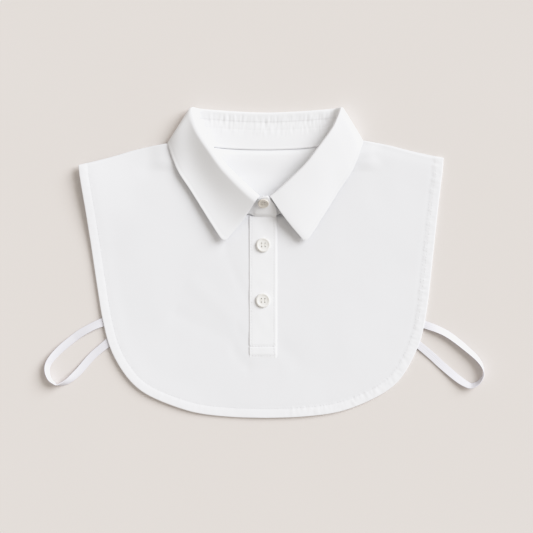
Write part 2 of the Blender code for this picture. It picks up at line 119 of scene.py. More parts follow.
# The collar's middle line, which drifts to the right towards the back, and the neck edges of the bibs
COLLAR_MIDDLE = 0.8
FOLD_SHIFT = 1.5
EDGE_SHIFT = 0.5
SHIFT_START = 70.0
SHIFT_LENGTH = 85.0
FRONT_NECK = (
    Edge(77.5, 117.0),
    Edge(75.2, 109.0),
    Edge(71.4, 96.0),
    Edge(64.0, 79.0),
    Edge(51.5, 62.6),
    Edge(31.0, 51.0),
    Edge(14.5, 48.0),
    Edge(0.0, 46.9),
)
BACK_NECK = (
    Edge(77.5, 117.0),
    Edge(69.5, 116.9),
    Edge(55.0, 116.4),
    Edge(31.0, 115.0),
    Edge(0.0, 114.5),
)

# The grid of a bib: columns in each half, those of them that follow the shoulder, and rings from neck to hem
COLUMNS = 300
SHOULDER_COLUMNS = 75.0
SHOULDER_POINTS = 60
SLASH_COLUMNS = 10
FIELD_RINGS = 34

# The hem: how far in from the edge, and how high over the bib's underside, round its turned edge
HemPoint = namedtuple("HemPoint", "inset height")
HEM_PROFILE = (
    HemPoint(15.0, 0.80),
    HemPoint(13.4, 0.80),
    HemPoint(12.0, 0.80),
    HemPoint(10.8, 0.80),
    HemPoint(9.9, 0.77),
    HemPoint(9.3, 0.70),
    HemPoint(8.8, 0.70),
    HemPoint(8.2, 0.84),
    HemPoint(7.2, 0.95),
    HemPoint(6.0, 1.00),
    HemPoint(4.6, 1.03),
    HemPoint(3.2, 1.04),
    HemPoint(1.8, 1.05),
    HemPoint(0.8, 1.04),
    HemPoint(0.35, 1.0),
    HemPoint(0.08, 0.86),
    HemPoint(0.0, 0.68),
    HemPoint(0.1, 0.48),
    HemPoint(0.4, 0.36),
    HemPoint(3.0, 0.32),
    HemPoint(7.6, 0.30),
)
HEM_LINE = (Ridge(0.3, 9.3, 0.7), Ridge(-0.35, 11.0, 1.5))
HEM_FOLD_REACH = 1.5
HEM_FADE = 2.5
HEM_PUCKER_WAVE = 3.6
DOUBLED_FROM_RING = FIELD_RINGS + 5.5
DOUBLED_RINGS = 2.5

# The placket and its slash
PLACKET_LEFT = -15.0
PLACKET_RIGHT = 13.0
PLACKET_TOP = 46.6
PLACKET_FOOT = -96.5
SLASH_INSET = 2.2
SLASH_FOOT = -82.0
PLACKET_COLUMNS = 56
PLACKET_ROWS = 150
PLACKET_SUNK = 0.85
PLACKET_LEFT_EDGE = (Ridge(-0.35, 0.0, 1.1), Ridge(0.26, 1.2, 0.65), Ridge(-0.12, 2.4, 0.8))
PLACKET_RIGHT_EDGE = (Ridge(-0.35, 0.0, 1.1), Ridge(0.1, 1.7, 0.9), Ridge(-0.08, 3.1, 0.7))
PLACKET_SOFT = 0.16
PLACKET_SOFT_LENGTHS = (9.0, 13.0)
PLACKET_SEED = 21.0
PLACKET_FOOT_FALL = 1.0
PLACKET_FOOT_REACH = 5.0
BOX_STITCH_Y = (-83.0, -92.4)
BOX_STITCH_DEPTH = 0.5
BOX_STITCH_WIDTH = 0.8

# The collar's sections, from the middle of the back to the front end. The fold is the innermost point of the
# roll, turn is the side on which the leaf lies (-90 below, 90 above), and layer is the side of the front lap
Section = namedtuple(
    "Section", "fold_x fold_y fold_z turn roll lip edge_x edge_y edge_z seam_x seam_y seam_z layer"
)
COLLAR_BACK = (
    Section(0.0, 149.6, 2.6, -90, 2.0, 8.0, 0.0, 107.0, 0.6, 0.0, 112.2, 2.4, 0),
    Section(30.8, 150.7, 2.6, -90, 2.0, 8.0, 33.0, 107.5, 0.6, 31.0, 112.8, 2.4, 0),
    Section(56.0, 152.5, 2.7, -90, 2.1, 8.0, 65.0, 109.5, 0.6, 55.0, 114.2, 2.4, 0),
    Section(66.8, 153.5, 3.0, -85, 2.2, 8.0, 90.8, 120.2, 0.6, 68.5, 116.4, 2.4, 0),
)
COLLAR_SIDE = (
    Section(72.2, 153.9, 7.4, 0, 2.6, 8.0, 95.8, 121.8, 3.8, 74.6, 117.6, 4.5, 0),
)
COLLAR_FRONT = (
    Section(72.2, 150.4, 11.6, 80, 2.8, 8.0, 96.1, 116.8, 7.2, 75.0, 114.4, 6.2, 0),
    Section(65.7, 134.5, 13.8, 90, 3.2, 8.0, 87.2, 93.0, 6.2, 70.8, 96.0, 4.8, 0),
    Section(52.7, 115.6, 14.4, 90, 3.4, 7.5, 74.0, 72.5, 5.7, 63.6, 79.4, 3.5, 0),
    Section(38.5, 97.0, 14.2, 90, 3.3, 6.5, 61.2, 52.0, 6.4, 51.2, 63.6, 2.9, 0),
    Section(16.7, 75.6, 14.6, 90, 2.7, 4.5, 49.5, 33.5, 7.3, 28.8, 52.2, 3.2, 0.5),
    Section(7.7, 67.9, 15.2, 90, 1.9, 2.7, 43.0, 24.2, 7.9, 13.0, 49.1, 3.7, 0.9),
    Section(5.3, 66.0, 15.4, 90, 1.7, 2.2, 38.4, 23.0, 8.0, 9.2, 48.4, 3.8, 1),
)
SECTION_STEPS = (40, 34, 16, 20, 20, 14, 18, 18, 18, 14, 8)
SIDE_LEAN = 1.4
FOLD_RAISE = {-1: 0.0, 1: 1.4}
FOLD_RAISE_AT = 4.5
FOLD_RAISE_REACH = 0.8
BACK_FADE = 0.6
FRONT_FADE = 1.4

# Across the leaf: its lip, the angles round its roll, and the crown, curl, sag and tip of its fall
LIP_SHARES = (1.0, 0.83, 0.66, 0.5, 0.33, 0.16)
LIP_PUCKERS = PuckerRow(0.5, 2.0, 5.0, 3.0)
ROLL_ANGLES = tuple(250 - 12 * k for k in range(15))
ROLL_REACH = {-1: 6.2, 1: 1.4}
ROLL_TOP = {-1: 0.95, 1: 1.0}
LEAF_STEPS = 34
LEAF_CROWN = {-1: 1.5, 1: 1.4}
LEAF_CURL = {-1: 2.7, 1: 0.6}
LEAF_SAG = {-1: 2.6, 1: -0.8}
LEAF_TIP = {-1: 1.4, 1: 0.9}
SAG_START = 4.6
SAG_LENGTH = 2.0
LEAF_FRONT_BULGE = 1.6
LEAF_RIM = (Ridge(0.12, 1.2, 1.0), Ridge(-0.12, 3.2, 1.0))
LEAF_WAVE = Wave(0.5, 34.0, 12.0)
LEAF_WAVE_FULL = 0.75

# Down the stand: its top edge under the leaf's lip, two rows of puckers, its foot and its sunk front seams
STAND_STEPS = 44
STAND_TUCK = 0.1
SIDE_GAP = 0.5
SIDE_GAP_REACH = 2.0
PUCKER_WAVE = 3.0
STAND_PUCKERS = (PuckerRow(0.45, 0.0, 5.0, 3.0), PuckerRow(0.32, 8.0, 5.0, 11.0))
STAND_LINE = (Ridge(-0.12, 8.0, 0.8),)
STAND_FOOT = -0.9
STAND_FOOT_ARC = 0.00035
STAND_WELT = (Ridge(0.17, 1.2, 0.7),)
STAND_FOOT_SUNK = 0.2
STAND_FOOT_WIDTH = 1.2
STAND_FRONT_FOOT = 1.8
STAND_SEAM_REACH = 3.2
STAND_OVER_SUNK = 1.5
STAND_UNDER_RAISED = 0.7
# Painted light: the share by which the stand's cloth is whitened behind the neck, in the neck's shade
STAND_PAINTED_LIGHT = 0.5
STAND_RIM = 0.8
RIM_ANGLES = (160, 125, 90, 60, 30)
RIM_STEP = 0.03

# The lapped ends of the stand
StandEnd = namedtuple("StandEnd", "top_x top_y seam_x")
STAND_END = (
    StandEnd(-2.5, 65.2, 2.0),
    StandEnd(-5.0, 62.6, -4.0),
    StandEnd(-9.2, 57.8, -8.6),
    StandEnd(-11.8, 52.8, -11.6),
)
STAND_SEAM_Y = 47.9
STAND_SEAM_Z = 3.7
STAND_SLOPE = 0.62
STAND_LAP = 1.25
UNDER_END_SHARE = 0.6
STAND_END_STEPS = 6

# Buttons: a profile from the middle of the top round to the middle of the underside, and four holes
ButtonPoint = namedtuple("ButtonPoint", "radius height")
BUTTON_PROFILE = (
    ButtonPoint(0.0, 1.72),
    ButtonPoint(1.2, 1.72),
    ButtonPoint(2.6, 1.76),
    ButtonPoint(4.2, 1.9),
    ButtonPoint(4.9, 2.1),
    ButtonPoint(5.4, 2.44),
    ButtonPoint(5.9, 2.58),
    ButtonPoint(6.4, 2.56),
    ButtonPoint(6.8, 2.36),
    ButtonPoint(7.04, 1.95),
    ButtonPoint(7.1, 1.5),
    ButtonPoint(7.0, 0.95),
    ButtonPoint(6.6, 0.45),
    ButtonPoint(5.8, 0.12),
    ButtonPoint(4.6, 0.0),
    ButtonPoint(0.0, 0.0),
)
BUTTON_RADIUS = 7.1
STAND_BUTTON_RADIUS = 5.7
BUTTON_FLATNESS = 0.8
BUTTON_STEPS = 64
BUTTON_SEAT_GAP = 0.25
HOLE_RADIUS = 0.62
HOLE_SPACING = 1.75
HOLE_SIDES = 20
DRILL_LENGTH = 8.0
SHARP_ANGLE = radians(50)
PLACKET_BUTTONS = {"upper": (-0.6, 18.0), "lower": (-0.9, -37.3)}
STAND_BUTTON = (-0.6, 60.2)
STAND_BUTTON_TILT = radians(12)

# Sewing thread: through the buttons' holes, and as stitches
THREAD_RADIUS = 0.12
THREAD_PATH = (
    (-HOLE_SPACING, 0.2),
    (0.25 - HOLE_SPACING, 1.0),
    (-1.0, 1.44),
    (1.0, 1.44),
    (HOLE_SPACING - 0.25, 1.0),
    (HOLE_SPACING, 0.2),
)
RING_POINTS = 6
STITCH_LENGTH = 2.0
STITCH_GAP = 0.9
STITCH_RADIUS = 0.16
STITCH_RINGS = 5
STITCH_RISE = 1.7
STITCH_END_SIZE = 0.45
StitchRow = namedtuple("StitchRow", "inset height right_only")
HEM_STITCHES = (StitchRow(HEM_WIDTH + 0.2, 0.9, False), StitchRow(HEM_WIDTH - 2.6, 1.2, True))
HEM_STITCH_TOP = 94.0
SECOND_ROW_BOTTOM = -60.0
PLACKET_STITCH_LEFT = PLACKET_LEFT + 2.4
PLACKET_STITCH_RIGHT = PLACKET_RIGHT - 3.1
PLACKET_STITCH_TOP = 44.0
PLACKET_STITCH_STEP = 2.0
PLACKET_STITCH_POINTS = 68

# The elastic loops: the outer edge of the band, how high it runs, and how far the band leans up
SEWN_IN = 2.6
RIBBON_COLUMNS = 16
RIB_HEIGHT = 0.06
RIB_COLUMNS = 4
Band = namedtuple("Band", "x y z lean")
Sewn = namedtuple("Sewn", "width start end")
LEFT_SEWN = Sewn(7.6, Vector((2.9, -8.1, 0)), Vector((-3.1, 8.0, 0)))
RIGHT_SEWN = Sewn(7.6, Vector((-2.0, -7.2, 0)), Vector((2.6, 7.4, 0)))
LEFT_LOOP = (
    Band(-163.3, -55.4, 1.6, 0),
    Band(-176.0, -61.6, 1.2, 6),
    Band(-189.1, -69.5, 0.8, 2),
    Band(-206.4, -83.9, 0.6, -16),
    Band(-216.4, -96.6, 0.6, -40),
    Band(-218.6, -106.6, 0.6, -56),
    Band(-215.2, -116.0, 0.6, -71),
    Band(-209.2, -120.6, 0.6, -84),
    Band(-203.2, -122.4, 0.6, -108),
    Band(-193.9, -119.8, 0.6, -134),
    Band(-182.9, -111.3, 0.7, -162),
    Band(-168.6, -95.3, 0.9, -177),
    Band(-155.2, -84.2, 1.6, -180),
)
RIGHT_LOOP = (
    Band(160.6, -57.6, 1.6, 2),
    Band(173.4, -62.6, 1.2, 26),
    Band(186.2, -69.4, 0.8, 34),
    Band(201.1, -81.2, 0.6, 42),
    Band(214.8, -94.8, 0.6, 56),
    Band(219.5, -106.6, 0.6, 78),
    Band(216.6, -117.6, 0.6, 102),
    Band(210.6, -123.4, 0.6, 120),
    Band(203.6, -124.8, 0.6, 138),
    Band(191.9, -118.8, 0.6, 160),
    Band(174.7, -104.6, 0.7, 174),
    Band(166.1, -96.6, 1.0, 178),
    Band(154.0, -86.2, 1.6, 180),
)
LOOP_STEPS = 14

# Soft folds of the bibs: a ridge (positive depth) or a trough from a start to an end
Crease = namedtuple("Crease", "x0 y0 x1 y1 width depth")
FRONT_CREASES = (
    Crease(-96, 117, -116, 94, 9.0, -0.85),
    Crease(-100, 108, -136, 98, 16.0, -0.3),
    Crease(-150, 60, -132, 100, 34.0, 1.0),
    Crease(92, 100, 110, 108, 4.5, -0.9),
    Crease(100, 112, 130, 106, 10.0, 0.3),
    Crease(96, 121, 178, 105, 7.0, -0.8),
    Crease(-30, -88, -17, -104, 5.0, -0.45),
    Crease(-26, -66, -17, -78, 4.0, -0.3),
    Crease(18, -84, 34, -100, 7.0, -0.3),
    Crease(-88, -51, -20, -84, 5.0, -0.35),
    Crease(-70, -20, -22, -66, 7.0, 0.3),
    Crease(-42, 28, -17, -36, 6.0, -0.4),
    Crease(-34, 10, -20, -20, 4.0, 0.25),
    Crease(-14, -103.5, 12, -103.5, 5.0, -0.3),
)
BACK_CREASES = (
    Crease(96, 112, 120, 92, 9.0, -0.5),
    Crease(-60, 70, -20, 96, 14.0, -0.35),
    Crease(54, 66, 26, 92, 16.0, -0.35),
)
CREASE_FADE = 0.35
CREASE_REACH = 3.0

# Unevenness and puckers of the bibs, the left edge's lift, and the back bib's dip under the stand's foot
FRONT_WAVES = (Wave(0.5, 75.0, 1.7), Wave(0.12, 24.0, 5.1))
BACK_WAVES = (Wave(0.12, 60.0, 9.3),)
FRONT_HEM = 0.14
FRONT_HEM_MORE = 0.17
FRONT_HEM_MORE_START = -20.0
FRONT_HEM_MORE_LENGTH = 80.0
FRONT_HEM_SEED = 2.0
BACK_HEM = 0.12
BACK_HEM_SEED = 4.0
EDGE_LIFT = 0.7
EDGE_LIFT_START = -30.0
EDGE_LIFT_LENGTH = 60.0
EDGE_LIFT_INSET = 30.0
NECK_SEAM_Y = 112.3
NECK_SEAM_ARC = 0.00097
NECK_DIP = 0.8
NECK_DIP_START = 1.0
NECK_DIP_LENGTH = 0.8
INSIDE_NECK_START = 40.0
INSIDE_NECK_LENGTH = 30.0
BACK_FLOOR = -0.1

# Materials
# How much whiter the cloth is made at a full share: for doubled cloth at the hem, and as painted light on the
# stand behind the neck
WHITER_DOUBLED_OR_PAINTED_LIGHT = 0.065
WAVE_SCALE = 0.314
WAVE_DISTORTION = 0.6
SLUB_SCALE = 300.0
SLUB_STRETCH = 0.12
SLUB_SHARE = 0.5
WEAVE_RELIEF = 0.0001
PATCH_SCALE = 22.0
PATCH_RANGE = (0.3, 0.7)
CLOTH_SPECULAR = 0.2
CLOTH_SHEEN = 0.06
SHEEN_ROUGHNESS = 0.5
CLOUD_SCALE = 160.0
CLOUD_RANGE = (0.3, 0.62)
PEARL_ROUGHNESS = 0.32
PEARL_COAT = 0.3
PEARL_COAT_ROUGHNESS = 0.2

# Floor, light, camera and the photograph's tones
FLOOR_HALF = 3.0
PAPER_DARK = (0.795, 0.748, 0.715)
PAPER_LIGHT = (0.808, 0.761, 0.729)
PAPER_GRAIN = 9.0
ROOM_COLOUR = (1.036, 0.995, 0.938)
ROOM_STRENGTH = 0.468
SUN_TOWARDS = (0.85, 0.53)
SUN_HEIGHT = radians(34.5)
SUN_SOFTNESS = radians(42.0)
SUN_STRENGTH = 2.57
SUN_COLOUR = (0.969, 0.998, 1.046)
FOCAL_LENGTH = 100
SENSOR_WIDTH = 36
CAMERA_REACH = 10
CAMERA_PLACE = (0.0025, -0.0035, 1.4806)
TONES = ((0.0, 0.0), (0.3, 0.295), (0.58, 0.605), (0.81, 0.82), (1.0, 0.93))


def smooth_step(x):
    """0 up to 0, 1 from 1 on, and smooth between."""
    x = min(max(x, 0.0), 1.0)
    return x * x * (3.0 - 2.0 * x)


def bump_curve(x):
    """1 at 0, falling to nearly 0 at 2 and -2."""
    return exp(-x * x)


def spline(rows, t):
    """The row at t, counted in rows, on a smooth curve through a table."""
    last = len(rows) - 1
    i = min(int(t), last - 1)
    f = t - i
    four = (rows[max(i - 1, 0)], rows[i], rows[i + 1], rows[min(i + 2, last)])
    return type(rows[i])(
        *(
            b + 0.5 * f * (c - a + f * (2 * a - 5 * b + 4 * c - d + f * (3 * (b - c) + d - a)))
            for a, b, c, d in zip(*four)
        )
    )


def trace(rows, steps=24):
    """Points along the smooth curve through a table whose first two columns are x and y."""
    count = (len(rows) - 1) * steps
    return [Vector(spline(rows, k / steps)[:2]) for k in range(count + 1)]


def along(points, count):
    """Points evenly spaced along a line of points, both ends among them."""
    lengths = [0.0]
    for a, b in zip(points, points[1:]):
        lengths.append(lengths[-1] + (b - a).length)
    spaced = []
    i = 0
    for k in range(count + 1):
        wanted = lengths[-1] * k / count
        while i < len(points) - 2 and lengths[i + 1] < wanted:
            i += 1
        share = (wanted - lengths[i]) / (lengths[i + 1] - lengths[i])
        spaced.append(points[i].lerp(points[i + 1], min(share, 1.0)))
    return spaced


def cut_at_x(points, x):
    """The part of a line, from its start to where it crosses x."""
    for i, (a, b) in enumerate(zip(points, points[1:])):
        if (a.x - x) * (b.x - x) <= 0 and a.x != b.x:
            return points[: i + 1] + [a.lerp(b, (x - a.x) / (b.x - a.x))]
    raise ValueError(f"the line does not reach x = {x}")


def point_at(points, share):
    """The point at a share of the way along a line of evenly spaced points."""
    at = share * (len(points) - 1)
    i = min(int(at), len(points) - 2)
    return points[i].lerp(points[i + 1], at - i)


def ridges(rows, distance):
    return sum(row.height * bump_curve((distance - row.at) / row.width) for row in rows)


def soft_waves(waves, x, y):
    return sum(w.depth * noise.noise(Vector((x / w.length, y / w.length, w.seed))) for w in waves)


def pucker(length, depth, seed, wave):
    """Puckers across a seam, from the place along it and the distance from it: coarse ones and finer ones."""
    ripple = noise.noise(Vector((length / wave, depth / 16.0, seed)))
    ripple += 0.5 * noise.noise(Vector((length / (wave * 0.45), depth / 9.0, seed + 7.0)))
    return ripple


def pucker_row(row, length, distance, depth):
    """A row of puckers that is strongest at its own distance from the seam."""
    fade = bump_curve((distance - row.at) / row.reach)
    return row.strength * fade * pucker(length, depth, row.seed, PUCKER_WAVE)


def add_thing(name, data):
    thing = bpy.data.objects.new(name, data)
    bpy.context.scene.collection.objects.link(thing)
    return thing


def add_shape(name, shape, look):
    """A smooth-shaded object of a bmesh, which is freed."""
    mesh = bpy.data.meshes.new(name)
    shape.to_mesh(mesh)
    shape.free()
    mesh.materials.append(look)
    for face in mesh.polygons:
        face.use_smooth = True
    return add_thing(name, mesh)


def make_sheet(name, grid, look, holes=(), layers=None):
    """An open surface from a grid of points, rows of equal length, without the cells in holes.

    layers(i, j) gives the share by which its material whitens the cloth at a point: for doubled cloth at the
    hem, and as painted light on the stand behind the neck.
    """
    shape = bmesh.new()
    doubled = shape.verts.layers.float.new("layers")
    points = [[shape.verts.new(Vector(p) * MM) for p in row] for row in grid]
    for i, row in enumerate(points):
        for j, vertex in enumerate(row):
            vertex[doubled] = layers(i, j) if layers else 0.0
    for i in range(len(grid) - 1):
        for j in range(len(grid[0]) - 1):
            if (i, j) not in holes:
                shape.faces.new((points[i][j], points[i][j + 1], points[i + 1][j + 1], points[i + 1][j]))
    loose = [v for v in shape.verts if not v.link_faces]
    bmesh.ops.delete(shape, geom=loose, context="VERTS")
    return add_shape(name, shape, look)


def thicken(thing, thickness, side):
    """Solidify: side -1 or 1 builds to that side of the surface, 0 to both."""
    wall = thing.modifiers.new("wall", "SOLIDIFY")
    wall.thickness = thickness * MM
    wall.offset = side
    wall.use_even_offset = True
    return thing


def round_edges(thing, width):
    bevel = thing.modifiers.new("edge", "BEVEL")
    bevel.width = width * MM
    bevel.segments = 2
    bevel.limit_method = "ANGLE"
    bevel.angle_limit = ROUNDED_FROM
    bevel.harden_normals = False


def dress(thing, slot, *nodes):
    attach(thing, "root")
    if nodes:
        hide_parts(*nodes)
    return thing


# Materials
def new_material(name):
    made = bpy.data.materials.new(name)
    made.use_nodes = True
    tree = made.node_tree
    return made, tree, tree.nodes["Principled BSDF"]


def node(tree, kind, **settings):
    made = tree.nodes.new(kind)
    for key, value in settings.items():
        if key in made.inputs:
            made.inputs[key].default_value = value
        else:
            setattr(made, key, value)
    return made


def mapped_noise(tree, place, scale, detail=3.0, stretch=(1, 1, 1)):
    mapping = node(tree, "ShaderNodeMapping")
    mapping.inputs["Scale"].default_value = stretch
    tree.links.new(place, mapping.inputs["Vector"])
    made = node(tree, "ShaderNodeTexNoise", Scale=scale, Detail=detail)
    tree.links.new(mapping.outputs["Vector"], made.inputs["Vector"])
    return made


def colour_ramp(tree, factor, dark, light, span=(0.0, 1.0)):
    ramp = node(tree, "ShaderNodeValToRGB")
    for stop, colour, position in zip(ramp.color_ramp.elements, (dark, light), span):
        stop.color = (*colour, 1)
        stop.position = position
    tree.links.new(factor, ramp.inputs["Fac"])
    return ramp.outputs["Color"]


def woven(name, colour, thread, weave_depth, tint, roughness=0.9):
    """Plain-woven cloth: crossing threads, slubs and a faint unevenness of colour."""
    made, tree, shader = new_material(name)
    place = node(tree, "ShaderNodeTexCoord").outputs["Object"]
    heights = []
    for axis in ("X", "Y"):
        wave = node(tree, "ShaderNodeTexWave", bands_direction=axis, Scale=WAVE_SCALE / (thread * MM))
        wave.inputs["Distortion"].default_value = WAVE_DISTORTION
        wave.inputs["Detail"].default_value = 1.0
        tree.links.new(place, wave.inputs["Vector"])
        heights.append(wave.outputs["Fac"])
    weave = node(tree, "ShaderNodeMath", operation="MULTIPLY")
    for k, height in enumerate(heights):
        tree.links.new(height, weave.inputs[k])
    slub_x = mapped_noise(tree, place, SLUB_SCALE, stretch=(SLUB_STRETCH, 1, 1))
    slub_y = mapped_noise(tree, place, SLUB_SCALE, stretch=(1, SLUB_STRETCH, 1))
    slubs = node(tree, "ShaderNodeMath", operation="ADD")
    tree.links.new(slub_x.outputs["Fac"], slubs.inputs[0])
    tree.links.new(slub_y.outputs["Fac"], slubs.inputs[1])
    surface = node(tree, "ShaderNodeMath", operation="MULTIPLY_ADD")
    surface.inputs[1].default_value = SLUB_SHARE
    tree.links.new(slubs.outputs[0], surface.inputs[0])
    tree.links.new(weave.outputs[0], surface.inputs[2])
    bump = node(tree, "ShaderNodeBump", Strength=weave_depth, Distance=WEAVE_RELIEF)
    tree.links.new(surface.outputs[0], bump.inputs["Height"])
    tree.links.new(bump.outputs["Normal"], shader.inputs["Normal"])
    patches = mapped_noise(tree, place, PATCH_SCALE, detail=2.0)
    darker = [c * tint for c in colour]
    uneven = colour_ramp(tree, patches.outputs["Fac"], darker, colour, PATCH_RANGE)
    # Whiter by the sheet's share: doubled cloth at the hem, and painted light on the stand behind the neck
    doubled = node(tree, "ShaderNodeAttribute", attribute_name="layers")
    whiter = node(tree, "ShaderNodeMath", operation="MULTIPLY_ADD")
    whiter.inputs[1].default_value = WHITER_DOUBLED_OR_PAINTED_LIGHT
    whiter.inputs[2].default_value = 1.0
    tree.links.new(doubled.outputs["Fac"], whiter.inputs[0])
    scaled = node(tree, "ShaderNodeVectorMath", operation="SCALE")
    tree.links.new(uneven, scaled.inputs[0])
    tree.links.new(whiter.outputs[0], scaled.inputs["Scale"])
    tree.links.new(scaled.outputs[0], shader.inputs["Base Color"])
    shader.inputs["Roughness"].default_value = roughness
    shader.inputs["Specular IOR Level"].default_value = CLOTH_SPECULAR
    shader.inputs["Sheen Weight"].default_value = CLOTH_SHEEN
    shader.inputs["Sheen Roughness"].default_value = SHEEN_ROUGHNESS
    return made


def pearl(name, dark, light):
    """A pearly button: cloudy cream with a soft gloss."""
    made, tree, shader = new_material(name)
    place = node(tree, "ShaderNodeTexCoord").outputs["Object"]
    cloud = mapped_noise(tree, place, CLOUD_SCALE, detail=4.0, stretch=(1, 2.2, 1))
    clouded = colour_ramp(tree, cloud.outputs["Fac"], dark, light, CLOUD_RANGE)
    tree.links.new(clouded, shader.inputs["Base Color"])
    shader.inputs["Roughness"].default_value = PEARL_ROUGHNESS
    shader.inputs["Coat Weight"].default_value = PEARL_COAT
    shader.inputs["Coat Roughness"].default_value = PEARL_COAT_ROUGHNESS
    return made


# Heights and relief of the bibs
def corner_lift(x, y):
    """The left shoulder corner curls up off the surface."""
    corner = turned(Vector((-SIDE_AND_HEM[0].half_width, SIDE_AND_HEM[0].y)))
    away = ((Vector((x, y)) - corner) * CORNER_WEIGHTS).length
    return CORNER_LIFT * smooth_step(1.0 - away / CORNER_REACH) ** CORNER_POWER


def back_height(x, y):
    """Underside of the back bib: on the surface, and over the leaf behind the neck."""
    in_from_side = smooth_step((LEAF_RISE_HALF_WIDTH - abs(x - COLLAR_MIDDLE)) / LEAF_RISE_SIDE)
    up_to_neck = smooth_step((y - LEAF_RISE_START) / LEAF_RISE_LENGTH)
    return BIB_OVER_LEAF * in_from_side * up_to_neck + corner_lift(x, y)


def front_height(x, y):
    """Underside of the front bib: over the back bib, and lifted where the collar holds it."""
    from_neck = Vector((abs(x - COLLAR_MIDDLE) - FRONT_NECK[0].half_width, y - FRONT_NECK[0].y)).length
    return back_height(x, y) + FRONT_OVER_BACK + NECK_LIFT * exp(-((from_neck / NECK_LIFT_REACH) ** 2))


def crease_relief(creases, x, y):
    """The sum of soft troughs and ridges, each fading across itself and past its ends."""
    total = 0.0
    for c in creases:
        run = Vector((c.x1 - c.x0, c.y1 - c.y0))
        share = (Vector((x - c.x0, y - c.y0)).dot(run)) / run.length_squared
        nearest = Vector((c.x0, c.y0)) + run * min(max(share, 0.0), 1.0)
        away = (Vector((x, y)) - nearest).length / c.width
        if away < CREASE_REACH:
            total += c.depth * bump_curve(away) * (1.0 - CREASE_FADE * share)
    return total


def hem_relief(inset, length, seed, strength):
    """Puckers over the width of the hem, and a ridge and a trough along its stitch line."""
    in_band = smooth_step(inset / HEM_FOLD_REACH) * smooth_step((HEM_WIDTH + HEM_FADE - inset) / HEM_FADE)
    puckers = in_band * pucker(length, 2.0 * inset, seed, HEM_PUCKER_WAVE)
    return strength * (puckers + ridges(HEM_LINE, inset))


def front_relief(x, y, inset, length):
    more = smooth_step((x - FRONT_HEM_MORE_START) / FRONT_HEM_MORE_LENGTH)
    hem = hem_relief(inset, length, FRONT_HEM_SEED, FRONT_HEM + FRONT_HEM_MORE * more)
    lifted = EDGE_LIFT * smooth_step((EDGE_LIFT_START - x) / EDGE_LIFT_LENGTH)
    lifted *= smooth_step(1.0 - inset / EDGE_LIFT_INSET)
    return soft_waves(FRONT_WAVES, x, y) + lifted + crease_relief(FRONT_CREASES, x, y) + hem


def back_relief(x, y, inset, length):
    """Relief of the back bib, which dips under the stand's foot and shows only inside the neck."""
    under_stand = y - NECK_SEAM_Y - NECK_SEAM_ARC * (x - COLLAR_MIDDLE) ** 2
    dip = NECK_DIP * smooth_step((under_stand - NECK_DIP_START) / NECK_DIP_LENGTH)
    inside_neck = smooth_step((y - INSIDE_NECK_START) / INSIDE_NECK_LENGTH)
    relief = soft_waves(BACK_WAVES, x, y) - dip + inside_neck * crease_relief(BACK_CREASES, x, y)
    lowest = BACK_FLOOR if under_stand < NECK_DIP_START else -NECK_DIP
    return max(relief + hem_relief(inset, length, BACK_HEM_SEED, BACK_HEM), lowest)


def turned(point):
    """A point of the bibs' own symmetric outline, placed."""
    c, s = cos(BIB_TURN), sin(BIB_TURN)
    tilt = LOW_TILT * smooth_step((LOW_START[-1 if point.x < 0 else 1] - point.y) / LOW_REACH)
    return BIB_MIDDLE + Vector((point.x * c - point.y * s, point.x * (s - tilt) + point.y * c))


# Bibs
def bib_lines(neck_table, side):
    """Neck edge, shoulder and outer edge of one half of a bib, each from the shoulder down or out."""
    outer = [turned(Vector((side * p.x, p.y))) for p in trace(SIDE_AND_HEM)]
    shoulder = [turned(Vector((side * p.x, p.y))) for p in trace(SHOULDER)]
    for point in shoulder:
        under_collar = (TUCK_START - abs(point.x - COLLAR_MIDDLE)) / TUCK_REACH
        point.y -= SHOULDER_TUCK * smooth_step(under_collar)
    neck = [Vector((COLLAR_MIDDLE + side * p.x, p.y)) for p in trace(neck_table)]
    return neck, [neck[0]] + shoulder, outer


def middle_point(neck_table, x, which):
    """Where a line at x meets the neck edge (0) or the outer edge (2)."""
    for side in (-1, 1):
        line = bib_lines(neck_table, side)[which]
        if (line[0].x - x) * (line[-1].x - x) <= 0:
            return cut_at_x(line, x)[-1]
    raise ValueError(f"no edge at x = {x}")


def bib_edges(neck_table):
    """Neck edge and outer edge of a bib's grid, from its left shoulder to its right one, and its shoulders.

    The middle columns run straight down the slash, evenly spaced across it. A shoulder is its line of
    points and the share of it that the hem leaves.
    """
    slash_left = PLACKET_LEFT + SLASH_INSET
    slash_right = PLACKET_RIGHT - SLASH_INSET
    neck_edge = {}
    outer_edge = {}
    shoulders = {}
    for side, reach in ((-1, slash_left), (1, slash_right)):
        neck, shoulder, outer = bib_lines(neck_table, side)
        neck_edge[side] = along(cut_at_x(neck, reach), COLUMNS)
        outer_edge[side] = along(cut_at_x(outer, reach), COLUMNS)
        bend = along(shoulder, SHOULDER_POINTS)
        length = sum((b - a).length for a, b in zip(bend, bend[1:]))
        shoulders[side] = (bend, 1.0 - HEM_PROFILE[0].inset / length)
    across = [slash_left + (slash_right - slash_left) * k / SLASH_COLUMNS for k in range(1, SLASH_COLUMNS)]
    neck_edge = neck_edge[-1] + [middle_point(neck_table, x, 0) for x in across] + neck_edge[1][::-1]
    outer_edge = outer_edge[-1] + [middle_point(neck_table, x, 2) for x in across] + outer_edge[1][::-1]
    return neck_edge, outer_edge, shoulders


def inward_at(edge, i):
    """The direction into the bib at a point of its outer edge."""
    tangent = (edge[min(i + 1, len(edge) - 1)] - edge[max(i - 1, 0)]).normalized()
    return Vector((-tangent.y, tangent.x))


